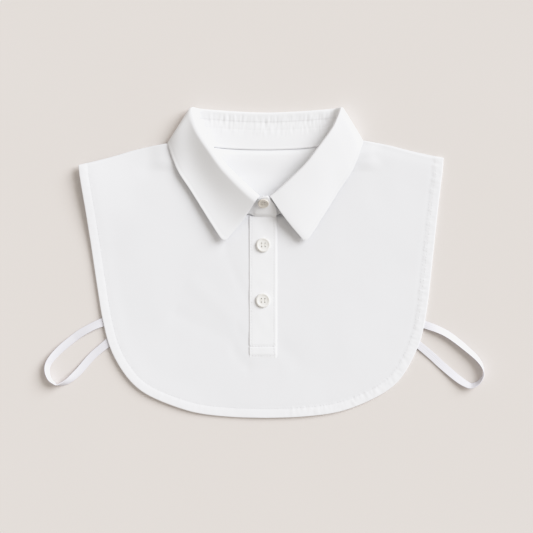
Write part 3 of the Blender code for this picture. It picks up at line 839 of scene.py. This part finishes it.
def field_column(start, end, from_ends, shoulders):
    """Points from the neck edge to where the hem begins, bent along the shoulder near it, and their inset."""
    column = []
    for r in range(FIELD_RINGS):
        share = r / FIELD_RINGS
        point = start.lerp(end, share)
        for side, from_end in from_ends.items():
            weight = max(0.0, 1.0 - from_end / SHOULDER_COLUMNS) ** 2
            bend, field_share = shoulders[side]
            straight = bend[0].lerp(point_at(bend, field_share), share)
            point = point + weight * (point_at(bend, share * field_share) - straight)
        column.append((point, (end - point).length + HEM_PROFILE[0].inset, HEM_PROFILE[0].height))
    return column


def make_bib(name, neck_table, height, relief, look, with_slash):
    """A thin sheet with a turned hem. relief takes x, y, the inset from the edge and the length along it."""
    neck_edge, outer_edge, shoulders = bib_edges(neck_table)
    last = len(outer_edge) - 1
    foot = None
    grid = []
    length = 0.0
    for i, (start, end) in enumerate(zip(neck_edge, outer_edge)):
        if i:
            length += (end - outer_edge[i - 1]).length
        inward = inward_at(outer_edge, i)
        if i in (0, last):
            bend, field_share = shoulders[-1 if i == 0 else 1]
            inward = (point_at(bend, field_share) - end).normalized()
        column = field_column(start, end + inward * HEM_PROFILE[0].inset, {-1: i, 1: last - i}, shoulders)
        column += [(end + inward * p.inset, p.inset, p.height) for p in HEM_PROFILE]
        if with_slash and COLUMNS <= i <= COLUMNS + SLASH_COLUMNS:
            if foot is None:
                foot = min(range(FIELD_RINGS), key=lambda r: abs(column[r][0].y - SLASH_FOOT))
            for point, _, _ in column:
                point.x = start.x
            column[foot][0].y = SLASH_FOOT
        grid.append(
            [(p.x, p.y, height(p.x, p.y) + h + relief(p.x, p.y, inset, length)) for p, inset, h in column]
        )
    holes = {(COLUMNS + i, j) for i in range(SLASH_COLUMNS) for j in range(foot)} if with_slash else ()

    def layers(i, j):
        return smooth_step((j - DOUBLED_FROM_RING) / DOUBLED_RINGS)

    return thicken(make_sheet(name, grid, look, holes, layers), SHELL, 0), outer_edge


# Collar
def collar_table():
    """The whole collar: the photograph's left half, then the right, x signed."""
    right = COLLAR_BACK + COLLAR_SIDE + COLLAR_FRONT
    left = [
        row._replace(fold_x=-row.fold_x, edge_x=-row.edge_x, seam_x=-row.seam_x, layer=-row.layer)
        for row in right[1:]
    ]
    return left[::-1] + list(right)


def collar_samples():
    """Places along the collar, counted in sections from its left end: the steps of each section, mirrored."""
    middle = len(SECTION_STEPS)
    half = [0.0]
    for k, steps in enumerate(SECTION_STEPS):
        half += [k + (n + 1) / steps for n in range(steps)]
    return [middle - t for t in half[:0:-1]] + [middle + t for t in half]


def shifted(x, y, amount):
    """x from the collar's middle line, which drifts to the right towards the back."""
    return COLLAR_MIDDLE + x + amount * smooth_step((y - SHIFT_START) / SHIFT_LENGTH)


def section(table, t):
    """One section of the collar: fold, edge, seam and the two directions that its roll turns in."""
    row = spline(table, t)
    side = -1 if t < len(SECTION_STEPS) else 1
    lift = -STAND_LAP * row.layer
    fold = Vector((shifted(row.fold_x, row.fold_y, FOLD_SHIFT), row.fold_y, row.fold_z + lift))
    fold.z += FOLD_RAISE[side] * bump_curve((from_middle(t) - FOLD_RAISE_AT) / FOLD_RAISE_REACH)
    lean = SIDE_LEAN * side * max(0.0, cos(radians(row.turn)))
    edge_x = shifted(row.edge_x, row.edge_y, EDGE_SHIFT)
    edge = Vector((edge_x, row.edge_y + lean, max(row.edge_z, LEAF / 2)))
    seam = Vector((COLLAR_MIDDLE + row.seam_x, row.seam_y, row.seam_z + lift))
    out = Vector((edge.x - fold.x, edge.y - fold.y, 0)).normalized()
    beside = Vector((-out.y, out.x, 0)) * side
    turn = radians(row.turn)
    over = beside * cos(turn) + Vector((0, 0, sin(turn)))
    return row, fold, edge, seam, out, over


def roll_point(row, fold, out, over, angle):
    """A point of the roll: 180 degrees is the fold, 90 is the leaf's side, 270 the stand's."""
    a = radians(angle)
    return fold + out * (row.roll * (1 + cos(a))) + over * (row.roll * sin(a))


def from_middle(t):
    """How many sections a place along the collar is from the middle of the back."""
    return abs(t - len(SECTION_STEPS))


def at_back(t):
    """1 behind the neck, falling to 0 at the sides."""
    return smooth_step(len(COLLAR_BACK) - BACK_FADE - from_middle(t))


def at_front(t):
    """1 at the front ends of the collar, falling to 0 a section further back."""
    return smooth_step(from_middle(t) - len(SECTION_STEPS) + FRONT_FADE)


def lip_points(t, row, under, seam, length):
    """The leaf's lip, from its seam with the stand up to the roll, puckered behind the neck."""
    lip_end = under + (seam - under).normalized() * row.lip
    points = []
    for share in LIP_SHARES:
        point = under.lerp(lip_end, share)
        from_seam = row.lip * (1 - share)
        point.z += at_back(t) * pucker_row(LIP_PUCKERS, length, from_seam, -from_seam)
        points.append(point)
    return points


def roll_points(row, fold, out, over, side, facing_up):
    """The leaf's roll. Where the leaf faces up, its upper half is flattened and reaches further over."""
    points = []
    for angle in ROLL_ANGLES:
        point = roll_point(row, fold, out, over, angle)
        if angle < 180:
            a = radians(angle)
            point += out * (facing_up ** 2 * (ROLL_REACH[side] - row.roll) * (1 + cos(a)))
            point += over * (facing_up ** 2 * (ROLL_TOP[side] - 1) * row.roll * sin(a))
        points.append(point)
    return points


def fall_points(t, crest, edge, side, facing_up):
    """The leaf from its roll to its edge: crowned at the sides, sagging and turned at the points."""
    to_front = smooth_step((from_middle(t) - SAG_START) / SAG_LENGTH)
    crown = LEAF_CROWN[side] * (1 - to_front) - LEAF_SAG[side] * to_front
    tip = LEAF_TIP[side] * to_front - LEAF_CURL[side] * (1 - to_front)
    points = []
    for k in range(1, LEAF_STEPS + 1):
        share = k / LEAF_STEPS
        point = crest.lerp(edge, share)
        raised = crown * sin(pi * share) + ridges(LEAF_RIM, (edge - crest).length * (1 - share))
        raised += soft_waves((LEAF_WAVE,), point.x, point.y) * sin(pi * min(share, LEAF_WAVE_FULL))
        point.z += facing_up * raised + tip * share ** 3
        points.append(point)
    return points


def make_leaf(look):
    table = collar_table()
    grid = []
    length = 0.0
    before = None
    for t in collar_samples():
        row, fold, edge, seam, out, over = section(table, t)
        length += (fold - before).length if before is not None else 0.0
        before = fold
        side = -1 if t < len(SECTION_STEPS) else 1
        facing_up = max(0.0, sin(radians(row.turn)))
        under = roll_point(row, fold, out, over, ROLL_ANGLES[0])
        points = lip_points(t, row, under, seam, length)
        points += roll_points(row, fold, out, over, side, facing_up)
        points += fall_points(t, points[-1], edge, side, facing_up)
        for point in points:
            point.z = max(point.z, LEAF / 2)
        grid.append(points)
    for end, sign in ((0, 1), (-1, -1)):
        for k in range(1, LEAF_STEPS + 1):
            grid[end][k - LEAF_STEPS - 1].x += sign * LEAF_FRONT_BULGE * sin(pi * k / LEAF_STEPS)
    leaf = thicken(make_sheet("leaf_cloth", grid, look), LEAF_WALL, 0)
    round_edges(leaf, LEAF_ROUNDING)
    return leaf


def stand_plane(x, y, layer):
    """A point of the slope on which the stand's front ends lie."""
    return Vector((x, y, STAND_SEAM_Z + STAND_LAP * layer + STAND_SLOPE * (y - STAND_SEAM_Y)))


def into_seam(point, foot_y, side):
    """Lowers the upper end of the stand, and raises the lower one, into its seam."""
    down = smooth_step((foot_y + STAND_SEAM_REACH - point.y) / STAND_SEAM_REACH)
    return (-STAND_OVER_SUNK if side < 0 else STAND_UNDER_RAISED) * down


def stand_end(side):
    """Columns of the stand past the leaf: the left end lies on the right one."""
    layer = -side
    reach = side if side < 0 else side * UNDER_END_SHARE
    normal = Vector((0, -STAND_SLOPE, 1)).normalized()
    upward = Vector((0, 1, STAND_SLOPE)).normalized()
    columns = []
    for k in range((len(STAND_END) - 1) * STAND_END_STEPS + 1):
        row = spline(STAND_END, k / STAND_END_STEPS)
        top = stand_plane(COLLAR_MIDDLE + reach * row.top_x, row.top_y, layer)
        seam = stand_plane(COLLAR_MIDDLE + reach * row.seam_x, STAND_SEAM_Y, layer)
        seam.y -= STAND_FRONT_FOOT
        column = []
        for f in range(STAND_STEPS + 1):
            point = top.lerp(seam, f / STAND_STEPS)
            point.z += into_seam(point, seam.y, side)
            column.append(point)
        middle = top - normal * STAND_RIM
        turns = [(normal * cos(radians(a)) + upward * sin(radians(a))) * STAND_RIM for a in RIM_ANGLES]
        columns.append([middle + turn for turn in turns] + column)
    return columns


def stand_column(t, top, foot, length, side):
    """Points down the stand. Behind the neck it has puckers, a stitch line and a welt at its foot."""
    column = []
    for f in range(STAND_STEPS + 1):
        point = top.lerp(foot, f / STAND_STEPS)
        from_top = (point - top).length
        from_foot = (foot - point).length
        ripple = sum(pucker_row(row, length, from_top, from_top) for row in STAND_PUCKERS)
        ripple += ridges(STAND_LINE, from_top) + ridges(STAND_WELT, from_foot)
        ripple -= STAND_FOOT_SUNK * smooth_step(1.0 - from_foot / STAND_FOOT_WIDTH)
        point.z += at_back(t) * ripple + at_front(t) * into_seam(point, foot.y, side)
        column.append(point)
    return column


def make_stand(look):
    """The band from one lapped end to the other. Above its top edge it has as many rows as the ends' rims."""
    table = collar_table()
    samples = collar_samples()
    body = []
    length = 0.0
    before = None
    for t in samples:
        row, fold, edge, seam, out, over = section(table, t)
        length += (fold - before).length if before is not None else 0.0
        before = fold
        under = roll_point(row, fold, out, over, ROLL_ANGLES[0])
        near_side = max(0.0, 1.0 - abs(from_middle(t) - len(COLLAR_BACK)) / SIDE_GAP_REACH)
        top = under + (seam - under).normalized() * (row.lip - STAND_TUCK + SIDE_GAP * near_side)
        foot_in = STAND_FOOT - STAND_FOOT_ARC * (seam.x - COLLAR_MIDDLE) ** 2
        foot = seam + (seam - top).normalized() * foot_in * at_back(t)
        foot.y -= STAND_FRONT_FOOT * at_front(t)
        column = stand_column(t, top, foot, length, -1 if t < len(SECTION_STEPS) else 1)
        onward = (column[0] - column[1]).normalized()
        body.append([column[0] + onward * (RIM_STEP * k) for k in range(len(RIM_ANGLES), 0, -1)] + column)
    left_end, right_end = stand_end(-1)[::-1], stand_end(1)

    # Painted light: the stand is whitened behind the neck
    def layers(i, j):
        k = i - len(left_end)
        return STAND_PAINTED_LIGHT * at_back(samples[k]) if 0 <= k < len(samples) else 0.0

    stand = make_sheet("stand_cloth", left_end + body + right_end, look, layers=layers)
    thicken(stand, STAND_WALL, 0)
    round_edges(stand, STAND_ROUNDING)
    return stand


# Placket
def on_placket(x, y):
    """A point of the placket's upper face, which is sunk a little into the front."""
    return Vector((x, y, front_height(x, y) + CLOTH + SEAM_GAP + PLACKET - PLACKET_SUNK))


def make_placket(look):
    """A doubled strip with a pressed ridge along each side and a seam line inside each ridge."""
    width = PLACKET_RIGHT - PLACKET_LEFT
    grid = []
    for k in range(PLACKET_COLUMNS + 1):
        inset = width * k / PLACKET_COLUMNS
        x = PLACKET_LEFT + inset
        raised = ridges(PLACKET_LEFT_EDGE, inset) + ridges(PLACKET_RIGHT_EDGE, width - inset)
        column = []
        for j in range(PLACKET_ROWS + 1):
            y = PLACKET_TOP + (PLACKET_FOOT - PLACKET_TOP) * j / PLACKET_ROWS
            point = on_placket(x, y)
            across, down = PLACKET_SOFT_LENGTHS
            point.z += raised + PLACKET_SOFT * noise.noise(Vector((x / across, y / down, PLACKET_SEED)))
            for line in BOX_STITCH_Y:
                point.z -= BOX_STITCH_DEPTH * bump_curve((y - line) / BOX_STITCH_WIDTH)
            point.z -= PLACKET_FOOT_FALL * smooth_step(1.0 - (y - PLACKET_FOOT) / PLACKET_FOOT_REACH)
            column.append(point)
        grid.append(column)
    return thicken(make_sheet("placket_cloth", grid, look), SHELL, -1)


# Thread
def add_ring(shape, middle, side, up, radius):
    """A ring of points round a thread."""
    ring = []
    for n in range(RING_POINTS):
        a = 2 * pi * n / RING_POINTS
        ring.append(shape.verts.new((middle + side * (radius * cos(a)) + up * (radius * sin(a))) * MM))
    return ring


def join_rings(shape, rings):
    """The faces of a thread, closed at both ends."""
    for first, second in zip(rings, rings[1:]):
        for n in range(RING_POINTS):
            m = (n + 1) % RING_POINTS
            shape.faces.new((first[n], first[m], second[m], second[n]))
    shape.faces.new(rings[0][::-1])
    shape.faces.new(rings[-1])


def add_stitch(shape, start, run):
    """A short thread that dips into the cloth at both ends."""
    side = run.cross(Vector((0, 0, 1))).normalized()
    up = side.cross(run).normalized()
    rings = []
    for k in range(STITCH_RINGS):
        share = k / (STITCH_RINGS - 1)
        bulge = sin(pi * share)
        middle = start + run * (STITCH_LENGTH * share) + up * (STITCH_RADIUS * (STITCH_RISE * bulge - 1.0))
        radius = STITCH_RADIUS * (STITCH_END_SIZE + (1 - STITCH_END_SIZE) * bulge)
        rings.append(add_ring(shape, middle, side, up, radius))
    join_rings(shape, rings)


def make_stitches(name, paths, look):
    """A row of small thread stitches along each path of points."""
    shape = bmesh.new()
    for path in paths:
        distance = 0.0
        wanted = STITCH_GAP
        for a, b in zip(path, path[1:]):
            size = (b - a).length
            while size > 0 and wanted <= distance + size:
                add_stitch(shape, a + (b - a) * ((wanted - distance) / size), (b - a) / size)
                wanted += STITCH_LENGTH + STITCH_GAP
            distance += size
    return add_shape(name, shape, look)


def hem_stitch_paths(edge, height, relief):
    """The stitch rows of a hem: one all round, and one nearer the edge down the right side."""
    paths = [[] for row in HEM_STITCHES]
    length = 0.0
    for i, point in enumerate(edge):
        if i:
            length += (point - edge[i - 1]).length
        for path, row in zip(paths, HEM_STITCHES):
            p = point + inward_at(edge, i) * row.inset
            on_right = p.x >= 0 and p.y >= SECOND_ROW_BOTTOM
            if p.y <= HEM_STITCH_TOP and (on_right or not row.right_only):
                z = height(p.x, p.y) + row.height + relief(p.x, p.y, row.inset, length)
                path.append(Vector((p.x, p.y, z)))
    return paths


def placket_stitch_paths():
    """A row down each side of the placket, and two across its foot."""
    left, right = PLACKET_STITCH_LEFT, PLACKET_STITCH_RIGHT
    down = [PLACKET_STITCH_TOP - PLACKET_STITCH_STEP * k for k in range(PLACKET_STITCH_POINTS)]
    across = [left + k for k in range(int(right - left) + 1)]
    sides = [[on_placket(x, y) for y in down] for x in (left, right)]
    return sides + [[on_placket(x, y) for x in across] for y in BOX_STITCH_Y]


# Buttons
def hole_places(width):
    spread = HOLE_SPACING * width
    return [(dx, dy) for dx in (-spread, spread) for dy in (-spread, spread)]


def make_drill(name, width):
    """Four cylinders where a button's holes are cut."""
    shape = bmesh.new()
    radius = HOLE_RADIUS * MM
    for dx, dy in hole_places(width):
        made = bmesh.ops.create_cone(
            shape, cap_ends=True, segments=HOLE_SIDES, radius1=radius, radius2=radius, depth=DRILL_LENGTH * MM
        )
        bmesh.ops.translate(shape, verts=made["verts"], vec=(dx * MM, dy * MM, 0))
    mesh = bpy.data.meshes.new(name)
    shape.to_mesh(mesh)
    shape.free()
    return add_thing(name, mesh)


def make_button(name, place, tilt, width, look):
    """A turned button with a raised rim, a dished middle and four holes, its underside at place."""
    mesh = bpy.data.meshes.new(name)
    edges = [(k, k + 1) for k in range(len(BUTTON_PROFILE) - 1)]
    points = [(p.radius * width * MM, 0, p.height * BUTTON_FLATNESS * MM) for p in BUTTON_PROFILE]
    mesh.from_pydata(points, edges, [])
    mesh.materials.append(look)
    button = add_thing(name, mesh)
    turn = button.modifiers.new("turn", "SCREW")
    turn.steps = turn.render_steps = BUTTON_STEPS
    turn.use_merge_vertices = True
    turn.merge_threshold = 0.01 * MM
    turn.use_smooth_shade = True
    drill = make_drill(name + "_drill", width)
    cut = button.modifiers.new("holes", "BOOLEAN")
    cut.operation = "DIFFERENCE"
    cut.object = drill
    bpy.context.view_layer.update()
    cut_mesh = bpy.data.meshes.new_from_object(button.evaluated_get(bpy.context.evaluated_depsgraph_get()))
    button.modifiers.clear()
    button.data = cut_mesh
    bpy.data.objects.remove(drill)
    soften_shading(cut_mesh)
    button.location = Vector(place) * MM
    button.rotation_euler = (tilt, 0, 0)
    return button


def soften_shading(mesh):
    """Smooth shading, but sharp at the rims of the holes."""
    shape = bmesh.new()
    shape.from_mesh(mesh)
    for face in shape.faces:
        face.smooth = True
    for edge in shape.edges:
        if len(edge.link_faces) == 2:
            edge.smooth = edge.calc_face_angle() < SHARP_ANGLE
    shape.to_mesh(mesh)
    shape.free()


def make_thread(name, place, tilt, width, look):
    """Two doubled runs of sewing thread, each through two of a button's four holes."""
    shape = bmesh.new()
    side = Vector((1, 0, 0))
    for dx in (-HOLE_SPACING, HOLE_SPACING):
        for offset in (-THREAD_RADIUS, THREAD_RADIUS):
            path = [Vector(((dx + offset) * width, y * width, z)) for y, z in THREAD_PATH]
            rings = []
            for k, point in enumerate(path):
                run = (path[min(k + 1, len(path) - 1)] - path[max(k - 1, 0)]).normalized()
                rings.append(add_ring(shape, point, side, side.cross(run), THREAD_RADIUS))
            join_rings(shape, rings)
    thing = add_shape(name, shape, look)
    thing.location = Vector(place) * MM
    thing.rotation_euler = (tilt, 0, 0)
    return thing


def button_seats():
    """Each button's place, tilt and share of the full width. The one on the stand is smaller."""
    seats = {}
    for which, (x, y) in PLACKET_BUTTONS.items():
        seats["button_" + which] = (on_placket(x, y) + Vector((0, 0, BUTTON_SEAT_GAP)), 0.0, 1.0)
    slope = atan(STAND_SLOPE)
    normal = Vector((0, -sin(slope), cos(slope)))
    place = stand_plane(*STAND_BUTTON, 1) + normal * (STAND / 2 + SEAM_GAP)
    seats["button_stand"] = (place, slope + STAND_BUTTON_TILT, STAND_BUTTON_RADIUS / BUTTON_RADIUS)
    return seats


# Loops
def make_loop(name, table, sewn, look):
    """An elastic band that stands up at its turn and lies flat along the hem at its sewn ends."""
    count = (len(table) - 1) * LOOP_STEPS
    rows = [spline(table, k / LOOP_STEPS) for k in range(count + 1)]
    middle = Vector((sum(r.x for r in rows) / len(rows), sum(r.y for r in rows) / len(rows)))
    grid = []
    for k, row in enumerate(rows):
        before, after = rows[max(k - 1, 0)], rows[min(k + 1, count)]
        run = Vector((after.x - before.x, after.y - before.y, 0)).normalized()
        inward = Vector((-run.y, run.x, 0))
        if inward.dot(middle.to_3d() - Vector((row.x, row.y, 0))) < 0:
            inward = -inward
        lean = radians(row.lean)
        outermost = Vector((row.x, row.y, row.z))
        first = outermost + inward * (sewn.width * max(0.0, -cos(lean)))
        first.z += sewn.width * max(0.0, -sin(lean))
        across = inward * (sewn.width * cos(lean)) + Vector((0, 0, sewn.width * sin(lean)))
        near_start = max(0.0, 1.0 - k / LOOP_STEPS) ** 2
        near_end = max(0.0, 1.0 - (count - k) / LOOP_STEPS) ** 2
        for near, along_hem in ((near_start, sewn.start), (near_end, sewn.end)):
            flat_first = outermost if cos(lean) > 0 else outermost + along_hem
            flat_across = along_hem if cos(lean) > 0 else -along_hem
            raised = Vector((0, 0, across.z))
            first = first.lerp(flat_first, near)
            across = across.lerp(flat_across + raised, near)
        up = across.cross(run).normalized()
        if up.z < 0:
            up = -up
        column = []
        for n in range(RIBBON_COLUMNS + 1):
            rib = RIB_HEIGHT * cos(2 * pi * n / RIB_COLUMNS)
            column.append(first + across * (n / RIBBON_COLUMNS) + up * rib)
        grid.append(column)
    for end, inner in ((0, 1), (-1, -2)):
        pull = (grid[end][0] - grid[inner][0]).normalized() * SEWN_IN
        pull.z = 0.0
        tucked = [p + pull for p in grid[end]]
        if end == 0:
            grid.insert(0, tucked)
        else:
            grid.append(tucked)
    loop = thicken(make_sheet(name, grid, look), RIBBON_WALL, 0)
    round_edges(loop, RIBBON_ROUNDING)
    return loop


# Floor, light, camera and tones
def make_floor():
    """A wide sheet of paper under the dickey."""
    mesh = bpy.data.meshes.new("floor")
    corners = [(x * FLOOR_HALF, y * FLOOR_HALF, 0) for x, y in ((-1, -1), (1, -1), (1, 1), (-1, 1))]
    mesh.from_pydata(corners, [], [(0, 1, 2, 3)])
    made, tree, shader = new_material("paper")
    place = node(tree, "ShaderNodeTexCoord").outputs["Object"]
    grain = mapped_noise(tree, place, PAPER_GRAIN, detail=2.0)
    paper = colour_ramp(tree, grain.outputs["Fac"], PAPER_DARK, PAPER_LIGHT)
    tree.links.new(paper, shader.inputs["Base Color"])
    shader.inputs["Roughness"].default_value = 0.95
    shader.inputs["Specular IOR Level"].default_value = 0.1
    mesh.materials.append(made)
    add_thing("floor", mesh)


def light_room():
    """Even light from all round, and a soft sun from SUN_TOWARDS, at SUN_HEIGHT over the floor."""
    world = bpy.data.worlds.new("room")
    bpy.context.scene.world = world
    world.use_nodes = True
    background = world.node_tree.nodes["Background"]
    background.inputs["Color"].default_value = (*ROOM_COLOUR, 1)
    background.inputs["Strength"].default_value = ROOM_STRENGTH
    lamp = bpy.data.lights.new("key", "SUN")
    lamp.angle = SUN_SOFTNESS
    lamp.energy = SUN_STRENGTH
    lamp.color = SUN_COLOUR
    level = Vector(SUN_TOWARDS).normalized() * cos(SUN_HEIGHT)
    upward = Vector((level.x, level.y, sin(SUN_HEIGHT)))
    add_thing("key", lamp).rotation_euler = upward.to_track_quat("Z", "Y").to_euler()


def place_camera():
    """Straight above the dickey, and far off, as in the photograph."""
    camera = bpy.data.cameras.new("camera")
    camera.lens = FOCAL_LENGTH
    camera.sensor_width = SENSOR_WIDTH
    camera.clip_end = CAMERA_REACH
    eye = add_thing("camera", camera)
    eye.location = CAMERA_PLACE
    bpy.context.scene.camera = eye


def set_tones():
    """The photograph's contrast, as a curve over the standard view."""
    view = bpy.context.scene.view_settings
    view.view_transform = "Standard"
    view.look = "None"
    view.use_curve_mapping = True
    tones = view.curve_mapping
    for x, y in TONES[1:-1]:
        tones.curves[3].points.new(x, y)
    tones.curves[3].points[0].location = TONES[0]
    tones.curves[3].points[len(TONES) - 1].location = TONES[-1]
    tones.extend = "HORIZONTAL"
    tones.update()


# Making: materials
cotton = woven("cotton", (0.886, 0.887, 0.905), thread=0.34, weave_depth=0.12, tint=0.99)
# The leaf's cotton is whiter than the bib's: painted light that lifts its shaded slopes
collar_painted_light_cotton = woven("collar_painted_light_cotton", (0.925, 0.926, 0.94), thread=0.34, weave_depth=0.1, tint=0.99)
# A whiter copy of the bib's cotton: painted light for the back bib inside the neck, which lies in shade; the
# stand and placket take it too
painted_light_cotton = woven("painted_light_cotton", (0.945, 0.946, 0.96), thread=0.34, weave_depth=0.12, tint=0.99)
elastic = woven("elastic", (0.868, 0.858, 0.908), thread=0.7, weave_depth=0.4, tint=0.97)
sewing_thread = woven("thread", (0.84, 0.84, 0.85), thread=0.2, weave_depth=0.6, tint=0.98, roughness=0.7)
button_thread = woven(
    "button_thread", (0.84, 0.82, 0.78), thread=0.2, weave_depth=0.6, tint=0.98, roughness=0.7
)
button_pearl = pearl("button_pearl", (0.87, 0.845, 0.80), (0.94, 0.925, 0.89))
# The stand's button: the same pearl made darker and warmer, as painted shade for the steep stand face it sits
# on
stand_button_shaded_pearl = pearl("button_pearl_painted_shade", (0.68, 0.635, 0.575), (0.79, 0.75, 0.69))

# Cloth
front, front_edge = make_bib("front_cloth", FRONT_NECK, front_height, front_relief, cotton, True)
back = make_bib("back_cloth", BACK_NECK, back_height, back_relief, painted_light_cotton, False)[0]
stand = make_stand(painted_light_cotton)
leaf = make_leaf(collar_painted_light_cotton)
placket = make_placket(painted_light_cotton)
dress(front, "cotton", "front_bib")
dress(back, "cotton", "back_bib")
dress(stand, "cotton", "collar_stand")
dress(leaf, "cotton", "collar_leaf")
dress(placket, "cotton", "placket")

# Buttons with their threads, and loops
for name, (place, tilt, width) in button_seats().items():
    # The stand's button takes the pearl with painted shade
    look = stand_button_shaded_pearl if name == "button_stand" else button_pearl
    dress(make_button(name + "_pearl", place, tilt, width, look), "button", name)
    dress(make_thread(name + "_thread", place, tilt, width, button_thread), "cotton")
for name, table, sewn in (("loop_left", LEFT_LOOP, LEFT_SEWN), ("loop_right", RIGHT_LOOP, RIGHT_SEWN)):
    dress(make_loop(name + "_elastic", table, sewn, elastic), "elastic", name)

# The underlap is hidden under the placket, so its solid stays and only takes the cotton
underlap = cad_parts["placket_underlap"]
underlap.data.materials.clear()
underlap.data.materials.append(cotton)

# Stitching
hem_paths = hem_stitch_paths(front_edge, front_height, front_relief)
dress(make_stitches("hem_stitches", hem_paths, sewing_thread), "cotton")
dress(make_stitches("placket_stitches", placket_stitch_paths(), sewing_thread), "cotton")

make_floor()
light_room()
place_camera()
set_tones()
